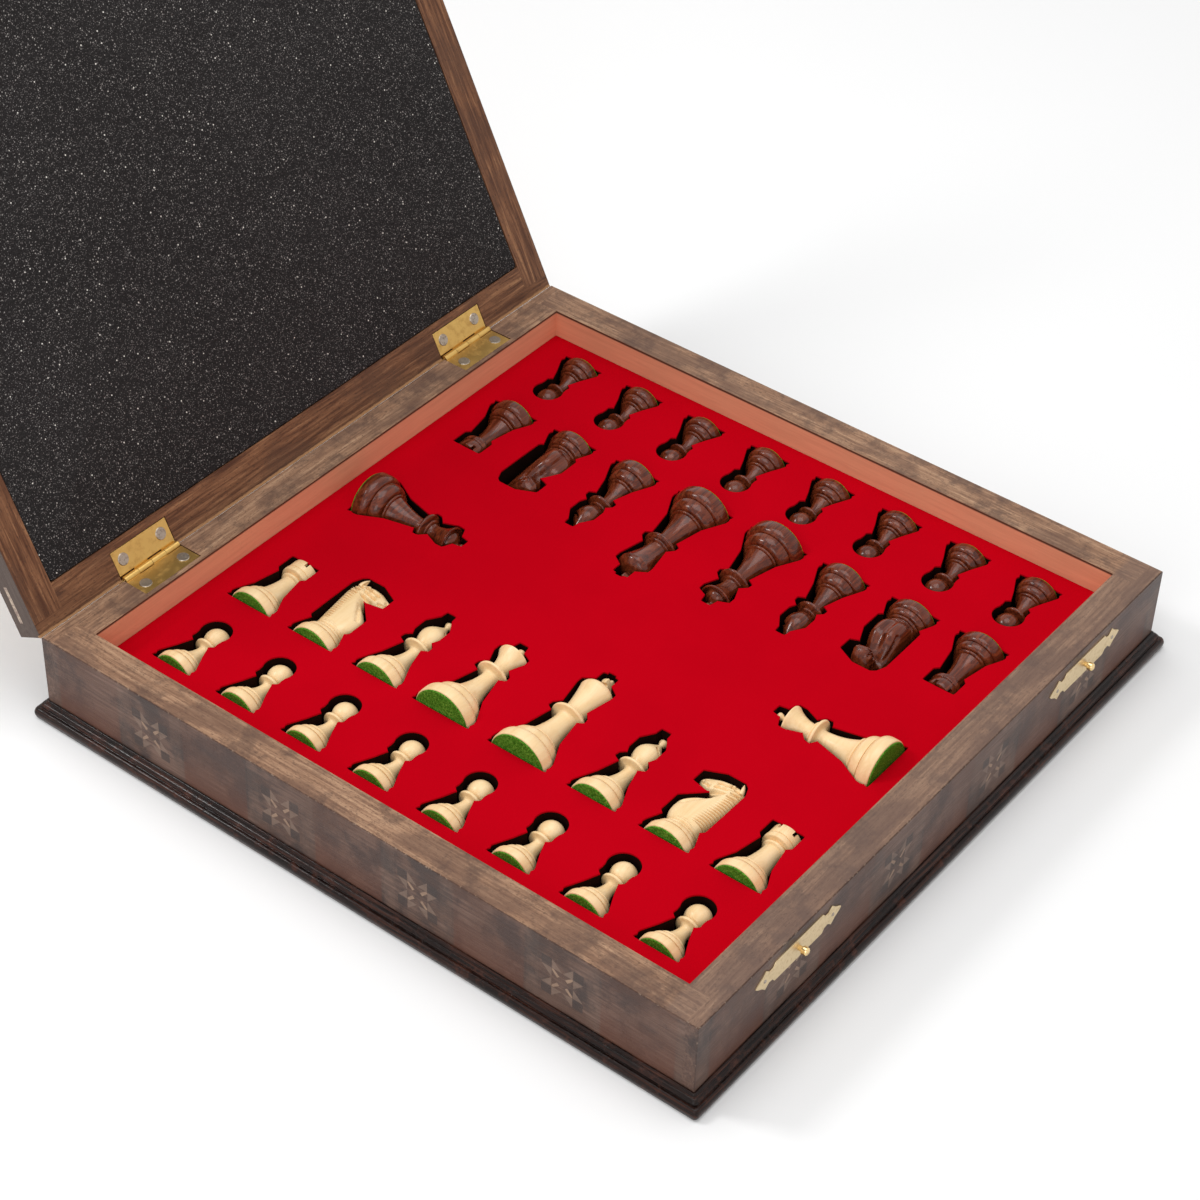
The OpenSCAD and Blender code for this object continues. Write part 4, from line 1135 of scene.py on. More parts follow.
class ManShapes:
    """Surfaces of the six kinds of men, standing on the origin."""

    @staticmethod
    def dome(radius: float, low: float, rise: float, degrees: np.ndarray) -> list[Arc]:
        """Points of a dome: the radius by the cosine, and the rise by the sine, of each angle."""
        return [(radius * math.cos(a), low + rise * math.sin(a), 0) for a in np.radians(degrees)]

    @staticmethod
    def swelling(wide: tuple[float, float], narrow: tuple[float, float]) -> list[Arc]:
        """A turned round: most of an ellipse's quarter, from its widest place up to its narrowest.

        Args:
            wide: Radius and height of the widest place.
            narrow: Radius and height of the narrowest.
        """
        (out, low), (back, high) = wide, narrow
        angles = np.radians(np.linspace(0, 86, 9))
        return [(back + (out - back) * math.cos(a), low + (high - low) * math.sin(a), 0) for a in angles]

    def rounds(self, man: ManSizes) -> list[Arc]:
        """Arcs of the turned foot: rim, two rounds with a notch between them, and a fine ring.

        Args:
            man: Its sizes.
        """
        notch_h = man.rim + (man.shoulder - man.rim) / 3
        notch_r = man.base - (man.base - man.shoulder_r) * 0.42
        ring_r = man.shoulder_r + 0.8
        ring_h = man.shoulder - 2
        first = self.swelling((man.base, man.rim), (notch_r, notch_h))
        second = self.swelling((notch_r + 0.35, notch_h + 0.45), (ring_r, ring_h))
        return [
            (0.0, PAD, 0), (man.base - 0.5, PAD, 0), (man.base - 0.05, PAD + 0.5, 0.08), *first,
            (notch_r - 0.8, notch_h + 0.15, -0.04), *second, (ring_r - 0.7, ring_h + 0.15, -0.04),
            (ring_r, ring_h + 0.5, 0), (ring_r, man.shoulder - 0.4, 0.22),
            (man.shoulder_r - 0.4, man.shoulder, 0.05),
        ]

    def foot(self, man: ManSizes, neck: float) -> list[Arc]:
        """Arcs of the foot and of the hollow stem.

        The stem's radius falls with the square of what is left of its way.

        Args:
            man: Its sizes.
            neck: Height of the stem's upper end.
        """
        low = man.shoulder + 0.3
        start = man.shoulder_r - 0.5
        stem = [(man.neck_r + (start - man.neck_r) * (1 - t) ** 2, low + (neck - low) * t, 0)
                for t in np.linspace(0, 1, 13)]
        return self.rounds(man) + stem

    def stem(self, man: ManSizes) -> list[Arc]:
        """Arcs of the foot and of a stem that ends just under the collar."""
        return self.foot(man, man.collar - 2.4)

    @staticmethod
    def disc(man: ManSizes) -> list[Arc]:
        """Arcs of the collar's wide thin disc.

        Args:
            man: Its sizes.
        """
        h, r, n = man.collar, man.collar_r, man.neck_r
        return [
            (n + 0.9, h - 1.3, -0.12), (r - 0.5, h - 0.9, -0.06), (r, h - 0.4, 0.12), (r, h + 0.35, 0.1),
            (r - 0.6, h + 0.85, 0.1),
        ]

    def collar(self, man: ManSizes) -> list[Arc]:
        """Arcs of the collar: the disc and a bead on it.

        Args:
            man: Its sizes.
        """
        h, n = man.collar, man.neck_r
        bead = [(n + 2.3, h + 1.5, 0.05), (n + 1.9, h + 1.75, -0.05), (n + 2.3, h + 2.0, 0),
                (n + 2.1, h + 2.9, 0.25), (n + 0.7, h + 3.2, 0.0)]
        return self.disc(man) + bead

    @staticmethod
    def flare(man: ManSizes, radius: float, top: float, hollow: float) -> list[Arc]:
        """Points of the hollow flare from the collar out to a crown: the way up raised to a power.

        Args:
            man: Its sizes.
            radius: Radius of the crown.
            top: Height of the crown.
            hollow: The power, straighter near 1.
        """
        waist = man.neck_r + 0.4
        low = man.collar + 4
        return [(waist + (radius - waist) * t**hollow, low + (top - low) * t, 0)
                for t in np.linspace(0, 1, 15)]

    def king(self, man: ManSizes) -> list[Surface]:
        """The king: a flared crown, a low dome and a cross with flared arms."""
        rim = man.height - 14
        dome = self.dome(CROWN_R, rim + 0.7, 5, np.arange(4, 80, 5))
        top = [(CROWN_R, rim + 0.5, 0.05), *dome, (1.9, rim + 5.9, 0), (2.1, rim + 6.5, 0), (0, rim + 6.5, 0)]
        arcs = self.stem(man) + self.collar(man) + self.flare(man, CROWN_R, rim, 1.5) + top
        return [turned(arc_chain(arcs)), self.cross(man)]

    @staticmethod
    def cross(man: ManSizes) -> Surface:
        """The king's cross, a flat outline with softened edges, carried through its thickness.

        At each face an angle turns a quarter: rings of the outline shrink by 1 - sin of it, and move
        inward by 1 - cos.
        """
        low, middle, high, half = man.height - 7.6, man.height - 3.7, man.height, CROSS_HALF
        right = [(1.9, low), (1.2, middle - 1.1), (half, middle - 1.9), (half, middle + 1.9),
                 (1.2, middle + 1.1), (2.1, high)]
        outline = np.array(right + [(-x, h) for x, h in reversed(right)])
        outline = even_loop(rounded_corners(outline), 0.7)
        centre = np.array([0.0, middle])
        edge, half_t = 0.5, 1.7
        steps = [(edge * (1 - math.sin(a)), -half_t + edge * (1 - math.cos(a))) for a in quarter_turn(4)]
        steps += [(shrink, -depth) for shrink, depth in reversed(steps)]
        scale = [1 - shrink / half for shrink, _ in steps]
        rings = np.stack([
            np.stack([flat[:, 0], np.full(len(flat), depth), flat[:, 1]], axis=-1)
            for flat, (_, depth) in ((centre + (outline - centre) * s, step) for s, step in zip(scale, steps))
        ])
        return capped_rings(rings)

    def queen(self, man: ManSizes) -> list[Surface]:
        """The queen: a flared coronet with a hollow lip, a dome and a ball."""
        rim = man.height - 9
        ball = man.height - FINIAL_R
        dome = self.dome(CORONET_R - 2.7, rim - 0.5, 4.6, np.arange(6, 78, 6))
        top = [(CORONET_R + 0.1, rim + 0.7, 0.06), (CORONET_R - 0.7, rim + 0.95, 0.08),
               (CORONET_R - 2.1, rim - 0.6, -0.1), *dome, (1.2, ball - 1.9, -0.15), (0.0, man.height, 1.75)]
        arcs = self.stem(man) + self.collar(man) + self.flare(man, CORONET_R, rim, 2.2) + top
        return [turned(arc_chain(arcs))]

    def bishop(self, man: ManSizes) -> list[Surface]:
        """The bishop: a mitre that swells quickly and tapers slowly, with a slanted cut, and a ball."""
        low, high = man.collar + 4.6, man.height - 2 * FINIAL_R
        ball = man.height - FINIAL_R
        t = np.linspace(0, 1, 64)
        swell = np.sin(math.pi * (0.19 + 0.81 * t))
        power = np.interp(t, [0.3, 0.5], [0.75, 1.3])
        mitre = np.stack([1.4 + (MITRE_R - 1.4) * swell**power, low + (high - low) * t], axis=-1)
        foot = arc_chain(self.stem(man) + self.collar(man))
        finial = arc_chain([(1.4, high, 0), (1.3, ball - 1.8, -0.1), (0.0, man.height, 1.75)], 0.4)
        body = turned(np.concatenate([foot, mitre, finial[1:]]), 96)
        points = body.points.copy()
        slab = (points[:, 0] - 3.2) * 0.62 + (points[:, 2] - (high - 7.0)) * 0.78
        in_cut = np.exp(-((slab / 0.42) ** 4)) * (points[:, 0] > 0.8) * (points[:, 2] > low + 2)
        points[:, :2] *= (1 - 0.4 * in_cut)[:, None]
        return [Surface(points, body.faces)]

    def rook(self, man: ManSizes) -> list[Surface]:
        """The rook: a bead under a banded turret with six merlons round a sunken roof."""
        low = man.height - TURRET_H
        floor = man.height - 2.9
        n = man.neck_r
        top = [
            (n + 1.0, low - 2.9, -0.05), (n + 1.35, low - 2.6, 0.05), (n + 1.3, low - 1.4, 0.25),
            (n + 0.5, low - 1.1, 0), (n + 0.6, low - 0.7, 0), (TURRET_R - 0.5, low - 0.3, -0.05),
            (TURRET_R, low + 0.3, 0.12),
            (TURRET_R, low + 2.5, 0.08), (TURRET_R - 0.5, low + 2.8, 0.05), (TURRET_R - 0.55, low + 3.1, 0),
            (TURRET_R - 0.2, low + 3.3, 0.05), (TURRET_R - 0.2, floor, 0), (0, floor, 0),
        ]
        surfaces = [turned(arc_chain(self.foot(man, low - 3.4) + top))]
        for turn in range(6):
            surfaces.append(self.merlon(turn * math.pi / 3, floor, man.height))
        return surfaces

    @staticmethod
    def merlon(turn: float, low: float, high: float) -> Surface:
        """One merlon: a block between two radii and two angles, its outer face leaning out a little.

        Args:
            turn: Angle of its middle.
            low: Height of its foot.
            high: Height of its top.
        """
        angle = turn + np.linspace(-0.42, 0.42, 9)
        outer, inner = TURRET_R - 0.2, TURRET_R - 2.6

        def ring(height: float, shrink: float) -> np.ndarray:
            """The merlon's outline at a height, drawn in by shrink."""
            spread = (angle - turn) * (1 - shrink / 4) + turn
            out = (outer + 0.02 * (height - low) - shrink) * unit(spread)
            back = (inner + shrink) * unit(spread)[::-1]
            return at_height(np.concatenate([out, back]), height)

        return capped_rings(np.stack([ring(low - 0.3, 0), ring(high - 0.25, 0), ring(high, 0.25)]))

    def pawn(self, man: ManSizes) -> list[Surface]:
        """The pawn: a thin disc and a ball."""
        angle = np.radians(np.linspace(-58, 90, 30))
        ball = np.stack([BALL_R * np.cos(angle), man.height - BALL_R + BALL_R * np.sin(angle)], axis=-1)
        arcs = self.stem(man) + self.disc(man) + [(man.neck_r + 0.3, man.collar + 1.2, -0.05)]
        return [turned(np.concatenate([arc_chain(arcs), ball]))]

    def knight(self, man: ManSizes) -> list[Surface]:
        """The knight: a turned foot with two thin rings under a carved horse."""
        top = man.shoulder + 4
        foot = self.rounds(man) + [
            (man.shoulder_r - 0.5, man.shoulder + 0.7, -0.1), (man.shoulder_r + 0.2, man.shoulder + 1.1, 0),
            (man.shoulder_r + 0.3, top - 1.6, 0.2), (man.shoulder_r - 0.1, top - 1.4, 0),
            (man.shoulder_r - 0.1, top - 0.3, 0.2), (man.shoulder_r - 0.9, top, 0.05), (0, top, 0),
        ]
        return [turned(arc_chain(foot)), self.horse(man), self.ear(man, 1), self.ear(man, -1)]

    @staticmethod
    def horse(man: ManSizes) -> Surface:
        """Neck and head of the horse.

        Sections run from the foot up the neck and over to the nose. Each is a closed loop between a point
        on the back and a point on the front of the outline, with a half thickness, and is rounder than a
        rectangle: its two parts are cosine and sine raised to a power below one. Carved lines and hollows
        then move the flanks in or out.
        """
        top = man.height
        stations = np.array([
            # back x, back z, front x, front z, half thickness
            (-9.0, top - 39.6, 9.4, top - 39.6, 8.8), (-9.8, top - 35.5, 11.6, top - 35.5, 9.0),
            (-10.6, top - 31.0, 12.3, top - 31.0, 9.0), (-11.2, top - 27.0, 11.7, top - 26.0, 8.8),
            (-11.8, top - 23.0, 8.4, top - 22.0, 8.5), (-12.3, top - 18.5, 4.0, top - 18.4, 8.2),
            (-12.7, top - 14.0, 0.5, top - 15.4, 8.0), (-12.9, top - 9.4, -0.4, top - 13.4, 7.9),
            (-12.3, top - 5.4, 0.9, top - 12.8, 7.6), (-10.4, top - 2.6, 2.6, top - 12.5, 7.3),
            (-7.0, top - 1.0, 4.2, top - 12.3, 7.0), (-2.5, top - 0.6, 5.6, top - 12.0, 6.4),
            (2.5, top - 1.1, 7.0, top - 11.8, 5.9), (6.9, top - 2.8, 8.7, top - 11.5, 5.4),
            (10.2, top - 4.4, 10.6, top - 10.8, 4.9), (12.3, top - 6.5, 12.2, top - 9.2, 3.5),
        ])
        rings = smooth_path(stations, 280)
        around = 72
        angle = np.arange(around) * 2 * math.pi / around
        cos, sin = np.cos(angle), np.sin(angle)
        power = 0.72
        back, front, half = rings[:, None, 0:2], rings[:, None, 2:4], rings[:, None, 4]
        share = 0.5 + 0.5 * np.sign(cos) * np.abs(cos) ** power
        flat = front + (back - front) * share[None, :, None]
        side = half * (np.sign(sin) * np.abs(sin) ** power)[None, :]
        x, z = flat[..., 0], flat[..., 1]
        from_back = np.hypot(*np.moveaxis(flat - back, -1, 0))
        side = side * ManShapes.carving(x, z, top, from_back)
        hollow = np.exp(-((side / 2.7) ** 2)) * np.exp(-(((z - (top - 28)) / 9) ** 4)) * (cos < -0.2)
        x = x - 2.3 * hollow + 0.7 * ManShapes.comb(x, z, top) * np.exp(-((from_back / 1.8) ** 2))
        return capped_rings(np.stack([x, -side, z], axis=-1))

    @staticmethod
    def comb(x: np.ndarray, z: np.ndarray, top: float) -> np.ndarray:
        """Cuts of the mane: the fourth power of a cosine along the neck, from 0 between cuts to 1 in them.

        Args:
            x: Places toward the nose.
            z: Heights.
            top: Height of the knight.
        """
        wave = 0.5 + 0.5 * np.cos(2 * math.pi * (z + 0.2 * x) / 1.7)
        return wave**2 * (z > top - 36) * (z < top - 5.5) * (x < -3)

    @staticmethod
    def carving(x: np.ndarray, z: np.ndarray, top: float, from_back: np.ndarray) -> np.ndarray:
        """Share of its thickness that each point of the flank keeps after the carving.

        Args:
            x: Places toward the nose.
            z: Heights.
            top: Height of the knight.
            from_back: Distances from the back of the neck.

        Returns:
            Values round 1: below it in the cuts, above it on what stands out.
        """

        def groove(x0: float, z0: float, x1: float, z1: float, depth: float, width: float) -> np.ndarray:
            """A cut along the line from one point to another, round in section and at its ends."""
            dx, dz = x1 - x0, z1 - z0
            t = np.clip(((x - x0) * dx + (z - z0) * dz) / (dx * dx + dz * dz), 0, 1)
            away = np.hypot(x - x0 - t * dx, z - z0 - t * dz)
            return depth * np.exp(-((away / width) ** 2))

        def dot(x0: float, z0: float, depth: float, width: float) -> np.ndarray:
            """A round hollow, or a round rise if depth is below zero."""
            return depth * np.exp(-(((x - x0) ** 2 + (z - z0) ** 2) / width**2))

        keep = 1 - 0.5 * ManShapes.comb(x, z, top) * np.exp(-((from_back / 5.6) ** 6))
        for low in (11.4, 8.3, 5.2):
            keep -= groove(-9.8, top - low, -6.8, top - low - 0.3, 0.28, 0.6)
            keep -= groove(-3.4, top - low + 0.5, 3.0, top - low - 0.2, 0.36, 0.7)
        eye = np.hypot(x + 4.4, z - (top - 3.5))
        keep -= 0.28 * np.exp(-(((eye - 1.5) / 0.45) ** 2)) + dot(-4.4, top - 3.5, -0.1, 0.8)
        keep -= dot(9.4, top - 6.4, 0.34, 0.8) + dot(6.4, top - 9.4, 0.3, 0.65)
        keep -= groove(12.2, top - 8.4, 7.0, top - 9.2, 0.28, 0.4)
        keep -= groove(10.6, top - 7.4, 9.6, top - 9.6, 0.16, 0.3)
        keep -= groove(0.2, top - 17.0, 8.2, top - 28.0, 0.16, 1.0)
        return np.clip(keep, 0.3, 1.2)

    @staticmethod
    def ear(man: ManSizes, side: int) -> Surface:
        """One pricked ear: a leaf-shaped loop that narrows to its tip, hollow on its front.

        Args:
            man: Its sizes.
            side: 1 or -1 for the two sides.
        """
        t = np.linspace(0, 1, 14)[:, None]
        angle = np.arange(24) * 2 * math.pi / 24
        width = 2.3 * np.sin(math.pi * np.power(0.3 + 0.7 * t, 0.9)) + 0.12
        x = -9.6 + 2.0 * t + width * 0.62 * np.cos(angle)
        x = x - 0.55 * width * np.maximum(np.cos(angle), 0) ** 3 * np.sin(math.pi * t)
        y = side * (5.0 + 1.6 * t) + width * 0.8 * np.sin(angle)
        z = man.height - 5.6 + 6.1 * t - 0.12 * width * np.cos(angle)
        return capped_rings(np.stack([x, y, np.broadcast_to(z, x.shape)], axis=-1))

    @staticmethod
    def pad(man: ManSizes) -> Surface:
        """The felt pad under the base, a disc with a soft edge."""
        r = man.base - 0.7
        top = PAD + 0.1
        arcs = [(0, 0.05, 0), (r - 0.5, 0.0, 0), (r, 0.35, 0.12), (r - 0.1, top, 0), (0, top, 0)]
        return turned(arc_chain(arcs), material=1)

    def surfaces(self, kind: Kind) -> list[Surface]:
        """All surfaces of a kind of man, with its pad.

        Args:
            kind: The kind.
        """
        man = MEN[kind]
        build = {Kind.KING: self.king, Kind.QUEEN: self.queen, Kind.BISHOP: self.bishop,
                 Kind.KNIGHT: self.knight, Kind.ROOK: self.rook, Kind.PAWN: self.pawn}[kind]
        return build(man) + [self.pad(man)]


@dataclass(frozen=True)
class LyingMan:
    """One man in the tray: its node, kind and side, its heading and its roll about its own axis.

    A mirrored man's cavity is mirrored, and lift is how far a knight's nose has rolled upward.
    """

    node: str
    kind: Kind
    side: Side
    heading: float
    roll: float
    mirrored: bool = False
    lift: float = 0.0

    def axis_place(self) -> tuple[np.ndarray, np.ndarray]:
        """Where the man's base and direction are, worked out from the box of its node.

        Returns:
            The middle of its base and the unit vector toward its head, in millimetres.
        """
        low, high = (np.array(corner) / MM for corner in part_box(self.node))
        direction = np.append(unit(np.array(math.radians(self.heading))), 0.0)
        man = MEN[self.kind]
        middle = (low + high) / 2
        middle[2] = SIZES.red_height - man.depth
        along = np.where(direction > 0.5, low, np.where(direction < -0.5, high, middle))
        return np.where(np.abs(direction) > 0.5, along, middle), direction

    def lay(self, points: np.ndarray) -> np.ndarray:
        """Lays standing points down: up becomes the heading, and the nose turns by the roll.

        Args:
            points: Standing points in millimetres.
        """
        base, forward = self.axis_place()
        across = np.array([-forward[1], forward[0], 0.0])
        up = np.array([0.0, 0.0, 1.0])
        roll = math.radians(self.roll)
        nose = across * math.cos(roll) + up * math.sin(roll)
        flank = -across * math.sin(roll) + up * math.cos(roll)
        return base + points[:, 2:3] * forward + points[:, 0:1] * nose + points[:, 1:2] * flank

    def plan(self, points: np.ndarray) -> np.ndarray:
        """Places a plan outline (along, across) of the man's cavity.

        Args:
            points: Array of shape (n, 2).
        """
        base, forward = self.axis_place()
        across = np.array([-forward[1], forward[0]]) * (-1 if self.mirrored else 1)
        return base[:2] + points[:, 0:1] * forward[:2] + points[:, 1:2] * across


def side_men(side: Side) -> list[LyingMan]:
    """The 17 men of a side, with the rolls that they lie at.

    Args:
        side: The side.
    """
    heading = 0.0 if side is Side.LIGHT else 180.0
    lifts = (0.0, 0.0) if side is Side.LIGHT else (80.0, 52.0)
    men = [
        LyingMan(f"{side.value}_king", Kind.KING, side, heading, 62.0),
        LyingMan(f"{side.value}_queen", Kind.QUEEN, side, heading, 20.0),
        LyingMan(f"{side.value}_extra_queen", Kind.QUEEN, side, heading + 90.0, 75.0),
        LyingMan(f"{side.value}_knight_1", Kind.KNIGHT, side, heading, 180.0 - lifts[0], False, lifts[0]),
        LyingMan(f"{side.value}_knight_2", Kind.KNIGHT, side, heading, lifts[1], True, lifts[1]),
    ]
    for kind, count, first, step in ((Kind.BISHOP, 2, 220.0, -30.0), (Kind.ROOK, 2, 17.0, 17.0),
                                     (Kind.PAWN, 8, 37.0, 37.0)):
        men += [LyingMan(f"{side.value}_{kind.value}_{i + 1}", kind, side, heading, first + step * i)
                for i in range(count)]
    return men


# ----------------------------------------------------------------- the tray


class CavityPlans:
    """Plan outlines of the cavities, base at zero and head along the first axis."""

    clearance: float = 0.6
    step: float = 1.0

    def outline(self, man: LyingMan) -> np.ndarray:
        """The edge of a man's cavity.

        Args:
            man: The man.
        """
        sizes = MEN[man.kind]
        h, c, r, n = sizes.height, sizes.collar, sizes.collar_r, sizes.neck_r
        foot = [(-0.2, sizes.base + 0.5), (1.6, sizes.base - 0.4), (3.4, sizes.base + 0.3),
                (sizes.rim + 0.8, sizes.base), (sizes.shoulder + 1, sizes.shoulder_r + 0.8)]
        if man.kind is Kind.KNIGHT:
            return self.grown(np.array(self.knight(sizes, man.lift, foot)))
        neck = [(c - 3.4, n + 1.4), (c - 1.4, r + 0.3)]
        ball = BALL_R + 1
        upper = {
            Kind.KING: [*neck, (c + 1.2, r), (c + 5, n + 1), (h - 15, CROWN_R), (h - 11.4, CROWN_R),
                        (h - 7.6, CROSS_HALF), (h - 1.6, CROSS_HALF), (h - 1.2, 1.9), (h, 1.9)],
            Kind.QUEEN: [*neck, (c + 1.2, r), (c + 5, n + 1), (h - 11.4, CORONET_R), (h - 7.6, CORONET_R),
                         (h - 5, 3.4), (h, 2.4)],
            Kind.BISHOP: [*neck, (c + 1.2, r), (c + 4, n + 2), (c + 8, MITRE_R), (c + 16, MITRE_R),
                          (h - 4, 2.8), (h, 2.4)],
            Kind.ROOK: [(h - TURRET_H - 3.4, n + 1.2), (h - TURRET_H - 1, TURRET_R), (h, TURRET_R)],
            Kind.PAWN: [*neck, (c + 1, r), *[(h - BALL_R + ball * math.cos(t), ball * math.sin(t))
                                             for t in np.radians(118 - 10 * np.arange(12))]],
        }[man.kind]
        half = foot + upper
        return self.grown(np.array(half + [(along, -across) for along, across in reversed(half)]))

    @staticmethod
    def knight(sizes: ManSizes, lift: float, foot: Sequence[Corner]) -> list[Corner]:
        """The outline of a knight, its mane on the positive side and a spur of foam under its jaw.

        Args:
            sizes: Its sizes.
            lift: How far its nose has rolled upward, in degrees, which shortens the spur.
            foot: The half outline of its foot.
        """
        h, s = sizes.height, sizes.shoulder
        spur = max(1.2, 7.8 * math.sin(math.radians(lift)))
        back = [(s + 3, 12.2), (h - 24, 12.4), (h - 7, 12.5), (h - 1.8, 10.4), (h, 8.2)]
        nose = [(h, -2), (h - 5, -12.4), (h - 13, -12.4), (h - 15.2, -spur), (h - 26, -12.2), (s + 3, -12.2)]
        return [*foot, *back, *nose, *[(along, -across) for along, across in reversed(foot)]]

    def grown(self, points: np.ndarray) -> np.ndarray:
        """Grows an outline by the clearance and divides its edges, with its corners kept.

        Args:
            points: The man's own outline, clockwise.
        """
        parts = []
        for start, end in zip(points[::-1], np.roll(points[::-1], -1, axis=0)):
            count = max(1, round(float(np.hypot(*(end - start))) / self.step))
            parts.append(start + (end - start) * np.arange(count)[:, None] / count)
        even = np.concatenate(parts)
        return even + loop_normals(even) * self.clearance


class Tray:
    """The foam block with its cavities and the red flocked sheet on it."""

    lip: float = 0.35
    border_step: float = 2 * SIZES.tray_half / 24
    fine: float = 9.0
    coarse: float = 60.0
    under_men: float = 0.3
    floor_step: float = 3.0

    def __init__(self, men: Sequence[LyingMan]) -> None:
        """Works out the outline of each man's cavity.

        Args:
            men: The men that lie in the tray.
        """
        plans = CavityPlans()
        self.men = men
        self.loops = [self.anticlockwise(man.plan(plans.outline(man))) for man in men]
        corner = SIZES.tray_half
        square = np.array([(-corner, -corner), (corner, -corner), (corner, corner), (-corner, corner)], float)
        self.border = even_loop(square, self.border_step)

    @staticmethod
    def anticlockwise(loop: np.ndarray) -> np.ndarray:
        """Returns the loop so that it turns anticlockwise, by the sign of its area."""
        after = np.roll(loop, -1, axis=0)
        area = (loop[:, 0] * after[:, 1] - after[:, 0] * loop[:, 1]).sum()
        return loop if area > 0 else loop[::-1]

    def flock(self) -> list[Surface]:
        """The sheet: a flat top that rolls over into each cavity, the cut edge, and its underside.

        The lip is a quarter circle: out by lip times sin and up by lip times cos of an angle.
        """
        top, low = SIZES.red_height, SIZES.red_height - SIZES.flock
        wide = [loop + loop_normals(loop) * self.lip for loop in self.loops]
        plane, triangles = perforated_plane(self.border, wide, self.fine)
        surfaces = [Surface(at_height(plane, top), triangles.tolist())]
        under, faces = perforated_plane(self.border, self.loops, self.coarse)
        surfaces.append(Surface(at_height(under, low), faces[:, ::-1].tolist()))
        for loop in self.loops:
            normal = loop_normals(loop)
            steps = [(self.lip * (1 - math.sin(a)), self.lip * (1 - math.cos(a))) for a in quarter_turn(5)]
            rings = [at_height(loop + normal * out, top - down) for out, down in steps]
            surfaces.append(self.wall([*rings, at_height(loop, low)]))
        surfaces.append(self.wall([at_height(self.border, low), at_height(self.border, top)]))
        return surfaces

    @staticmethod
    def wall(rings: Sequence[np.ndarray]) -> Surface:
        """An open band through closed rings of points."""
        return Surface(np.concatenate(rings), ring_faces(len(rings), len(rings[0])))

    def foam(self) -> list[Surface]:
        """The block: its top, sides and underside, and the wall and the stepped floor of each cavity.

        A floor is deep under the base and rises toward the head over a smooth step.
        """
        top, low = SIZES.red_height - SIZES.flock, SIZES.foam_bottom
        plane, triangles = perforated_plane(self.border, self.loops, self.coarse)
        under = at_height(self.border, low)
        surfaces = [Surface(at_height(plane, top), triangles.tolist()),
                    self.wall([under, at_height(self.border, top)]),
                    Surface(under, [tuple(range(len(self.border)))[::-1]])]
        for man, loop in zip(self.men, self.loops):
            surfaces.append(self.wall([at_height(loop, top), at_height(loop, self.floor(man, loop))]))
            inner, faces = perforated_plane(loop, [], 2 * SIZES.half_width)
            surfaces.append(Surface(at_height(inner, self.floor(man, inner)), faces.tolist()))
        return surfaces

    def floor(self, man: LyingMan, plan: np.ndarray) -> np.ndarray:
        """Heights of a cavity's floor: t * t * (3 - 2 t) of the way from deep to shallow, t along the step.

        Args:
            man: The man in the cavity.
            plan: Plan points.
        """
        sizes = MEN[man.kind]
        base, forward = man.axis_place()
        clear = SIZES.red_height - sizes.depth - self.under_men
        heads = {Kind.KNIGHT: sizes.base, Kind.ROOK: TURRET_R, Kind.PAWN: BALL_R}
        reach = heads.get(man.kind, sizes.collar_r)
        deep, shallow = clear - sizes.base, clear - reach
        along = (plan - base[:2]) @ forward[:2] - sizes.shoulder - 1
        t = np.clip(along / self.floor_step, 0, 1)
        return deep + (shallow - deep) * t * t * (3 - 2 * t)


# --------------------------------------------------------------- the casing


@dataclass
class Casing:
    """The base with its walls, bottom and skirt moulding."""

    nodes: dict[str, bpy.types.Object]
    corner: float = 2.0
    gap: float = 0.02

    def dress_walls(self) -> None:
        """Gives the walls and the bottom their wood."""
        front = WallFinish("front_wall_wood", 0.5, specular=0.2, axis=0).material()
        side = WallFinish("side_wall_wood", 0.5, specular=0.2, axis=1, inlay_shift=1.0).material()
        bottom = PlainWoodFinish("bottom_plywood", 0.7, tones=PLYWOOD).material()
        for name, material in (("front_wall", front), ("rear_wall", front), ("left_wall", side),
                               ("right_wall", side), ("bottom_panel", bottom)):
            set_material(self.nodes[name], material)

    def skirt(self) -> list[Surface]:
        """The moulding: its profile carried round the foot of the walls, with small round corners.

        A ring at a profile point lies the point's distance outside the wall line. Each corner is a quarter
        circle about the wall's corner, drawn in so that the outermost ring has the corner's radius.
        """
        out, high = SIZES.skirt_out, SIZES.skirt_height
        section = arc_chain([
            (out - 0.9, 0.0, 0), (out - 0.2, 1.3, 0.15), (out - 0.1, 4.9, 0.35), (out - 1.9, 6.3, 0.45),
            (out - 2.7, 6.5, -0.1), (out - 2.5, 7.2, 0.15), (out - 2.6, 8.3, 0.3), (out - 4.1, 9.3, 0.25),
            (out - 4.3, 9.9, -0.1), (out - 4.7, 10.6, 0.1), (out - 5.2, high, 0.1), (0.15, high, 0),
            (self.gap, high - 0.3, 0),
        ], 0.5)
        section = np.concatenate([[(self.gap, 0.0)], section])
        loops = np.stack([self.wall_loop(distance, height) for distance, height in section])
        count, around = loops.shape[:2]
        last = (count - 1) * around
        closing = [tuple(i + last if i < around else i - around for i in face)
                   for face in ring_faces(2, around)]
        return [Surface(loops.reshape(-1, 3), ring_faces(count, around) + closing)]

    def wall_loop(self, distance: float, height: float) -> np.ndarray:
        """A loop round the base at a distance outside the walls, with round corners, anticlockwise.

        Args:
            distance: Distance from the walls.
            height: Its height.
        """
        radius = max(self.gap, min(self.corner, distance))
        middle = SIZES.half_width + distance - radius
        corners = [(middle, middle), (-middle, middle), (-middle, -middle), (middle, -middle)]
        return round_cornered(corners, radius, 7, height)


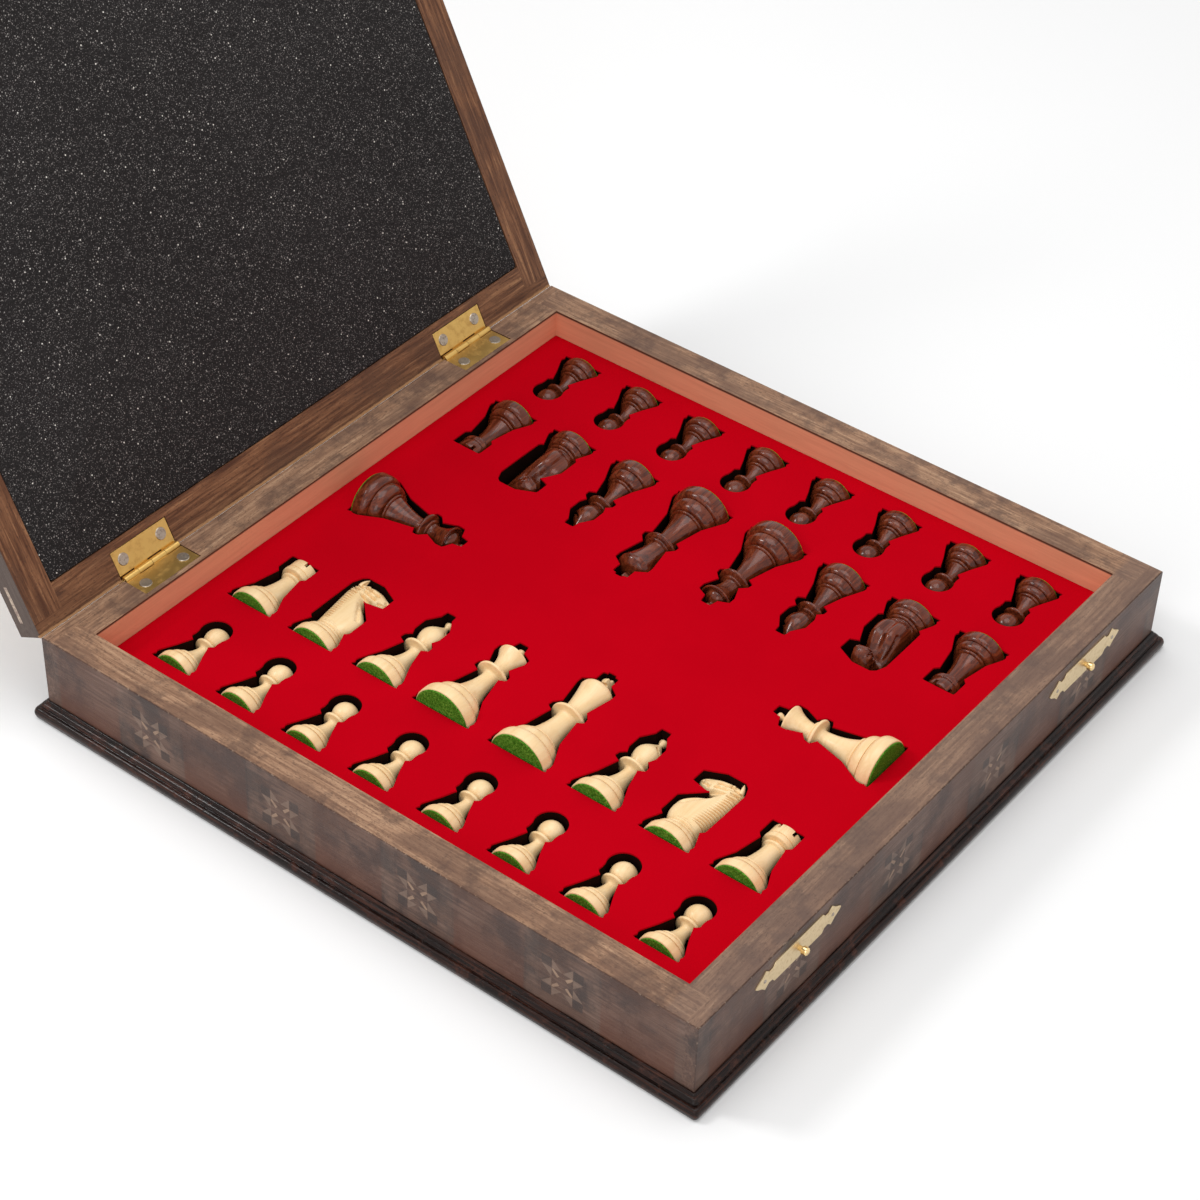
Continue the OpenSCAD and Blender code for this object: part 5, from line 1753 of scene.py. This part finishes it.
def round_cornered(middles: Sequence[Corner], radius: float, count: int, height: float) -> np.ndarray:
    """A rectangle with round corners, anticlockwise: a quarter circle about the middle of each corner.

    Args:
        middles: Middles of the corners, from the one at +X +Y on.
        radius: Their radius.
        count: Points in each.
        height: Height of the loop.
    """
    parts = [np.array(middle) + radius * unit(quarter_turn(count) + quarter * math.pi / 2)
             for quarter, middle in enumerate(middles)]
    return at_height(np.concatenate(parts), height)


def set_material(obj: bpy.types.Object, material: bpy.types.Material) -> None:
    """Puts one material in every slot of an object.

    Args:
        obj: The object.
        material: The material.
    """
    if not obj.material_slots:
        obj.data.materials.append(material)
    for slot in obj.material_slots:
        slot.material = material


def open_lid(points: np.ndarray) -> np.ndarray:
    """Turns points of the closed lid about the hinge pins to where the open lid stands.

    Args:
        points: Array of shape (n, 3), in millimetres.
    """
    angle = -math.radians(SIZES.lid_angle)
    centre = np.array([0.0, SIZES.half_width, SIZES.pin_height])
    x, y, z = (points - centre).T
    cos, sin = math.cos(angle), math.sin(angle)
    return centre + np.stack([x, y * cos - z * sin, y * sin + z * cos], axis=-1)


@dataclass
class Lid:
    """The lid with its rails, board and foam pad."""

    nodes: dict[str, bpy.types.Object]
    rail: Optional[bpy.types.Material] = field(default=None, init=False)
    pad_gap: float = 0.3
    pad_edge: float = 1.0
    pad_corner: float = 2.0

    def dress(self) -> None:
        """Gives the rails and the board their woods."""
        self.rail = LidFinish("lid_rail_wood", 0.5, specular=0.2, axis=0).material()
        side = LidFinish("lid_side_wood", 0.5, specular=0.2, axis=1).material()
        for name, material in (("lid_front_rail", self.rail), ("lid_rear_rail", self.rail),
                               ("lid_left_rail", side), ("lid_right_rail", side)):
            set_material(self.nodes[name], material)
        for node, name, tones in (("board_panel", "board_border_wood", WALNUT),
                                  ("light_squares", "light_square_wood", MAPLE),
                                  ("dark_squares", "dark_square_wood", MAHOGANY)):
            wood = PlainWoodFinish(name, 0.4, tones=tones, on_lid=True, coat=0.3)
            set_material(self.nodes[node], wood.material())

    def arris(self) -> list[Surface]:
        """The rail's worn lower rear edge: a small bead carried along it, in lengths between the hinges."""
        low, rear, leg = SIZES.lid_bottom, SIZES.half_width, SIZES.worn_edge
        section = arc_chain([
            (rear - leg, low, 0), (rear - 0.5, low - 0.02, 0), (rear - 0.2, low - 0.42, 0.04),
            (rear + 0.18, low - 0.42, 0.04), (rear + 0.2, low, 0.04), (rear, low + leg, 0.0),
            (rear - 0.4, low + leg, 0), (rear - leg, low + 0.4, 0),
        ], 0.3)
        gap, end, hinge = SIZES.hinge_half + 0.6, SIZES.half_width - 0.1, SIZES.fitting_x
        lengths = []
        for left, right in ((-end, -hinge - gap), (gap - hinge, hinge - gap), (hinge + gap, end)):
            rings = [np.column_stack([np.full(len(section), x), section]) for x in (left, right)]
            lengths.append(capped_rings(np.stack(rings)).moved(open_lid))
        return lengths

    def pad(self) -> list[Surface]:
        """The foam pad: loops of a rectangle with round corners that roll over at both faces."""
        low, high = SIZES.lid_bottom, SIZES.lid_top - SIZES.board_thickness
        right = SIZES.half_width - SIZES.rail - self.pad_gap - self.pad_corner
        rear = SIZES.half_width - SIZES.rear_rail - self.pad_gap - self.pad_corner
        edge = self.pad_edge
        steps = [(edge * (1 - math.sin(a)), low + edge * (1 - math.cos(a))) for a in quarter_turn(5)]
        steps += [(shrink, low + high - z) for shrink, z in reversed(steps)]
        middles = [(right, rear), (-right, rear), (-right, -right), (right, -right)]
        rings = [round_cornered(middles, self.pad_corner - shrink, 5, z) for shrink, z in steps]
        return [capped_rings(np.stack(rings)).moved(open_lid)]


@dataclass
class Fittings:
    """Hinges, nails, latch plates, studs and hooks."""

    nodes: dict[str, bpy.types.Object]

    def dress(self) -> None:
        """Gives the metal parts their finishes, and the pressed ones softened edges."""
        metals = {finish.name: finish.material() for finish in (
            MetalFinish("hinge_brass", 0.32, 1.0, colour=srgb(206, 168, 98), film=srgb(150, 112, 62),
                        grain_scale=0.25),
            MetalFinish("plate_brass", 0.42, 1.0, colour=srgb(222, 200, 160), film=srgb(172, 144, 108)),
            MetalFinish("stud_brass", 0.16, 1.0, colour=srgb(236, 206, 150), film=srgb(120, 84, 40)),
            MetalFinish("nail_steel", 0.34, 1.0, colour=srgb(172, 160, 146), film=srgb(96, 84, 74),
                        film_share=0.7),
        )}
        for name, slot, width, body in (
            ("base_hinge_leaves", "hinge_brass", 0.22, "base"),
            ("lid_hinge_leaves", "hinge_brass", 0.22, "lid"),
            ("hinge_pins", "hinge_brass", 0.1, "base"),
            ("stud_plates", "plate_brass", 0.12, "base"),
            ("hook_plates", "plate_brass", 0.12, "lid"),
            ("left_hook", "stud_brass", 0.2, "left_hook"),
            ("right_hook", "stud_brass", 0.2, "right_hook"),
        ):
            self.softened(name, metals[slot], width, body)
        whole = {"base_nails": "nail_steel", "lid_nails": "nail_steel", "studs": "stud_brass"}
        for name, slot in whole.items():
            set_material(self.nodes[name], metals[slot])

    def softened(self, name: str, material: bpy.types.Material, width: float, body: str) -> None:
        """Replaces a pressed part by a copy whose edges are softened by a bevel.

        Args:
            name: The node.
            material: Its finish.
            width: Width of the bevel, in millimetres.
            body: The body that it rides on.
        """
        work = bmesh.new()
        work.from_mesh(self.nodes[name].data)
        bmesh.ops.remove_doubles(work, verts=work.verts, dist=1e-6)
        bmesh.ops.dissolve_limit(work, angle_limit=math.radians(1.0), verts=work.verts, edges=work.edges)
        mesh = bpy.data.meshes.new(name + "_softened")
        work.to_mesh(mesh)
        work.free()
        mesh.materials.clear()
        mesh.materials.append(material)
        mesh.polygons.foreach_set("use_smooth", np.ones(len(mesh.polygons), bool))
        mesh.set_sharp_from_angle(angle=math.radians(35))
        made = add_object(name + "_softened", mesh)
        bevel = made.modifiers.new("soft_edges", "BEVEL")
        bevel.width = width * MM
        bevel.segments = 2
        bevel.limit_method = "ANGLE"
        bevel.angle_limit = math.radians(40)
        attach(made, body)
        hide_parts(name)
        LOG.info("%s: softened by %.2f mm, on %s", name, width, body)


# ---------------------------------------------------------------- the studio


@dataclass(frozen=True)
class Studio:
    """Camera, floor and plain light."""

    azimuth: float = -53.511
    elevation: float = 40.224
    roll: float = 2.143
    place: tuple[float, float, float] = (-0.91266, -0.66603, 1.00944)
    lens: float = 88.82
    sensor: float = 36.0
    floor_half: float = 6.0
    floor_grey: float = 0.93
    world_light: float = 0.6

    def camera(self) -> None:
        """Makes the camera at the photograph's place.

        Its axes are right, up and back: back points from the object to the camera by the azimuth and the
        elevation, and right and up are turned about it by the roll.
        """
        a, e, r = (math.radians(value) for value in (self.azimuth, self.elevation, self.roll))
        back = np.array([math.sin(a) * math.cos(e), -math.cos(a) * math.cos(e), math.sin(e)])
        right = np.array([math.cos(a), math.sin(a), 0.0])
        up = np.cross(back, right)
        right, up = right * math.cos(r) + up * math.sin(r), up * math.cos(r) - right * math.sin(r)
        data = bpy.data.cameras.new("camera")
        data.lens = self.lens
        data.sensor_width = self.sensor
        data.clip_end = 20.0
        camera = add_object("camera", data)
        matrix = Matrix(np.column_stack([right, up, back]).tolist()).to_4x4()
        matrix.translation = Vector(self.place)
        camera.matrix_world = matrix
        bpy.context.scene.camera = camera

    def floor(self) -> None:
        """Makes the pale floor and marks it as stage."""
        mesh = bpy.data.meshes.new("floor")
        half, grey = self.floor_half, self.floor_grey
        corners = [(-half, -half, 0), (half, -half, 0), (half, half, 0), (-half, half, 0)]
        mesh.from_pydata(corners, [], [(0, 1, 2, 3)])
        material = bpy.data.materials.new("pale_floor")
        material.use_nodes = True
        shader = material.node_tree.nodes["Principled BSDF"]
        shader.inputs["Base Color"].default_value = (grey, grey, grey, 1)
        shader.inputs["Roughness"].default_value = 0.9
        mesh.materials.append(material)
        add_object("floor", mesh)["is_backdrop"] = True

    def lights(self) -> None:
        """Makes a wide soft light above, weaker ones in front and behind, and a white world.

        The world is dimmer where it lights the object than where the camera, gloss or glass shows it.
        """
        for name, place, aim, size, power in (
            ("sky_panel", (0.1, 0.1, 1.9), (0, 0, 0), 1.3, 14.0),
            ("front_panel", (-1.4, -0.5, 0.9), (0, 0, 0.1), 0.7, 4.0),
            ("rear_panel", (-0.7, 1.2, 1.5), (0, 0, 0.0), 0.4, 10.0),
        ):
            data = bpy.data.lights.new(name, "AREA")
            data.size = size
            data.energy = power
            lamp = add_object(name, data)
            lamp.location = place
            lamp.rotation_euler = (Vector(aim) - Vector(place)).to_track_quat("-Z", "Y").to_euler()
        world = bpy.data.worlds.new("studio")
        bpy.context.scene.world = world
        world.use_nodes = True
        graph = Graph(world.node_tree)
        background = world.node_tree.nodes["Background"]
        path = graph.node("LightPath").outputs
        seen = graph.larger(path["Is Camera Ray"], path["Is Glossy Ray"])
        seen = graph.larger(seen, path["Is Transmission Ray"])
        graph.put(background.inputs["Strength"], graph.band(seen, 0.0, 1.0, self.world_light, 1.0))
        background.inputs["Color"].default_value = (1, 1, 1, 1)

    def build(self) -> None:
        """Makes everything of the studio."""
        self.camera()
        self.floor()
        self.lights()
        bpy.context.scene.view_settings.view_transform = "Standard"


def save_sizes(visual: Iterable) -> None:
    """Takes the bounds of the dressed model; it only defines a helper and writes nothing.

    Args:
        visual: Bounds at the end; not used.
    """

    def plain(bounds: Iterable) -> list[list[float]]:
        """Returns corners as lists of numbers."""
        return [[float(value) for value in corner] for corner in bounds]


def main() -> None:
    """Builds the scene: studio, casing, tray, men, lid and fittings."""
    logging.basicConfig(level=logging.INFO, format="%(message)s")
    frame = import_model()
    nodes = frame["nodes"]
    Studio().build()

    casing = Casing(nodes)
    casing.dress_walls()
    lacquer = LacquerFinish("skirt_lacquer", 0.2, specular=0.18, coat=0.04, coat_roughness=0.06).material()
    Piece("skirt_moulding", casing.skirt(), [lacquer], "base", "moulding_lacquer", ["base_moulding"],
          30).build()

    men = [man for side in Side for man in side_men(side)]
    tray = Tray(men)
    red = FlockFinish("red_flock", 1.0, specular=0.0, colour=srgb(186, 2, 21)).material()
    black = CavityFoamFinish("cavity_foam", 1.0, specular=0.0).material()
    sheet = Piece("flocked_sheet", tray.flock(), [red], "base", "red_flock", ["felt_sheet"], 60).build()
    foam = Piece("foam_insert", tray.foam(), [black], "base", "cavity_foam", ["foam_block"], 60).build()

    shapes = ManShapes()
    surfaces = {kind: shapes.surfaces(kind) for kind in Kind}
    woods = {
        Side.LIGHT: PlainWoodFinish("boxwood", 0.36, specular=0.35, coat=0.12, coat_roughness=0.25,
                                    tones=BOXWOOD, width=2.4, pores=0.06, relief=0.00001).material(),
        Side.DARK: PlainWoodFinish("sheesham", 0.24, specular=0.2, coat=0.3, coat_roughness=0.12,
                                   tones=SHEESHAM, width=1.1, pores=0.3, relief=0.00001).material(),
    }
    felt = FeltFinish("green_felt", 0.95, specular=0.0).material()
    for man in men:
        placed = [surface.moved(man.lay) for surface in surfaces[man.kind]]
        slot = f"{man.side.value}_man_wood"
        Piece(f"{man.node}_carved", placed, [woods[man.side], felt], man.node, slot, [man.node], 48).build()

    lid = Lid(nodes)
    lid.dress()
    glitter = GlitterFoamFinish("glitter_foam", 1.0, specular=0.05).material()
    Piece("worn_rear_arris", lid.arris(), [lid.rail], "lid", "lid_wood", [], 50).build()
    pad = Piece("lid_pad", lid.pad(), [glitter], "lid", "glitter_foam", ["lid_foam"], 50).build()

    Fittings(nodes).dress()
    save_sizes(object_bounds())


if __name__ == "__main__":
    main()
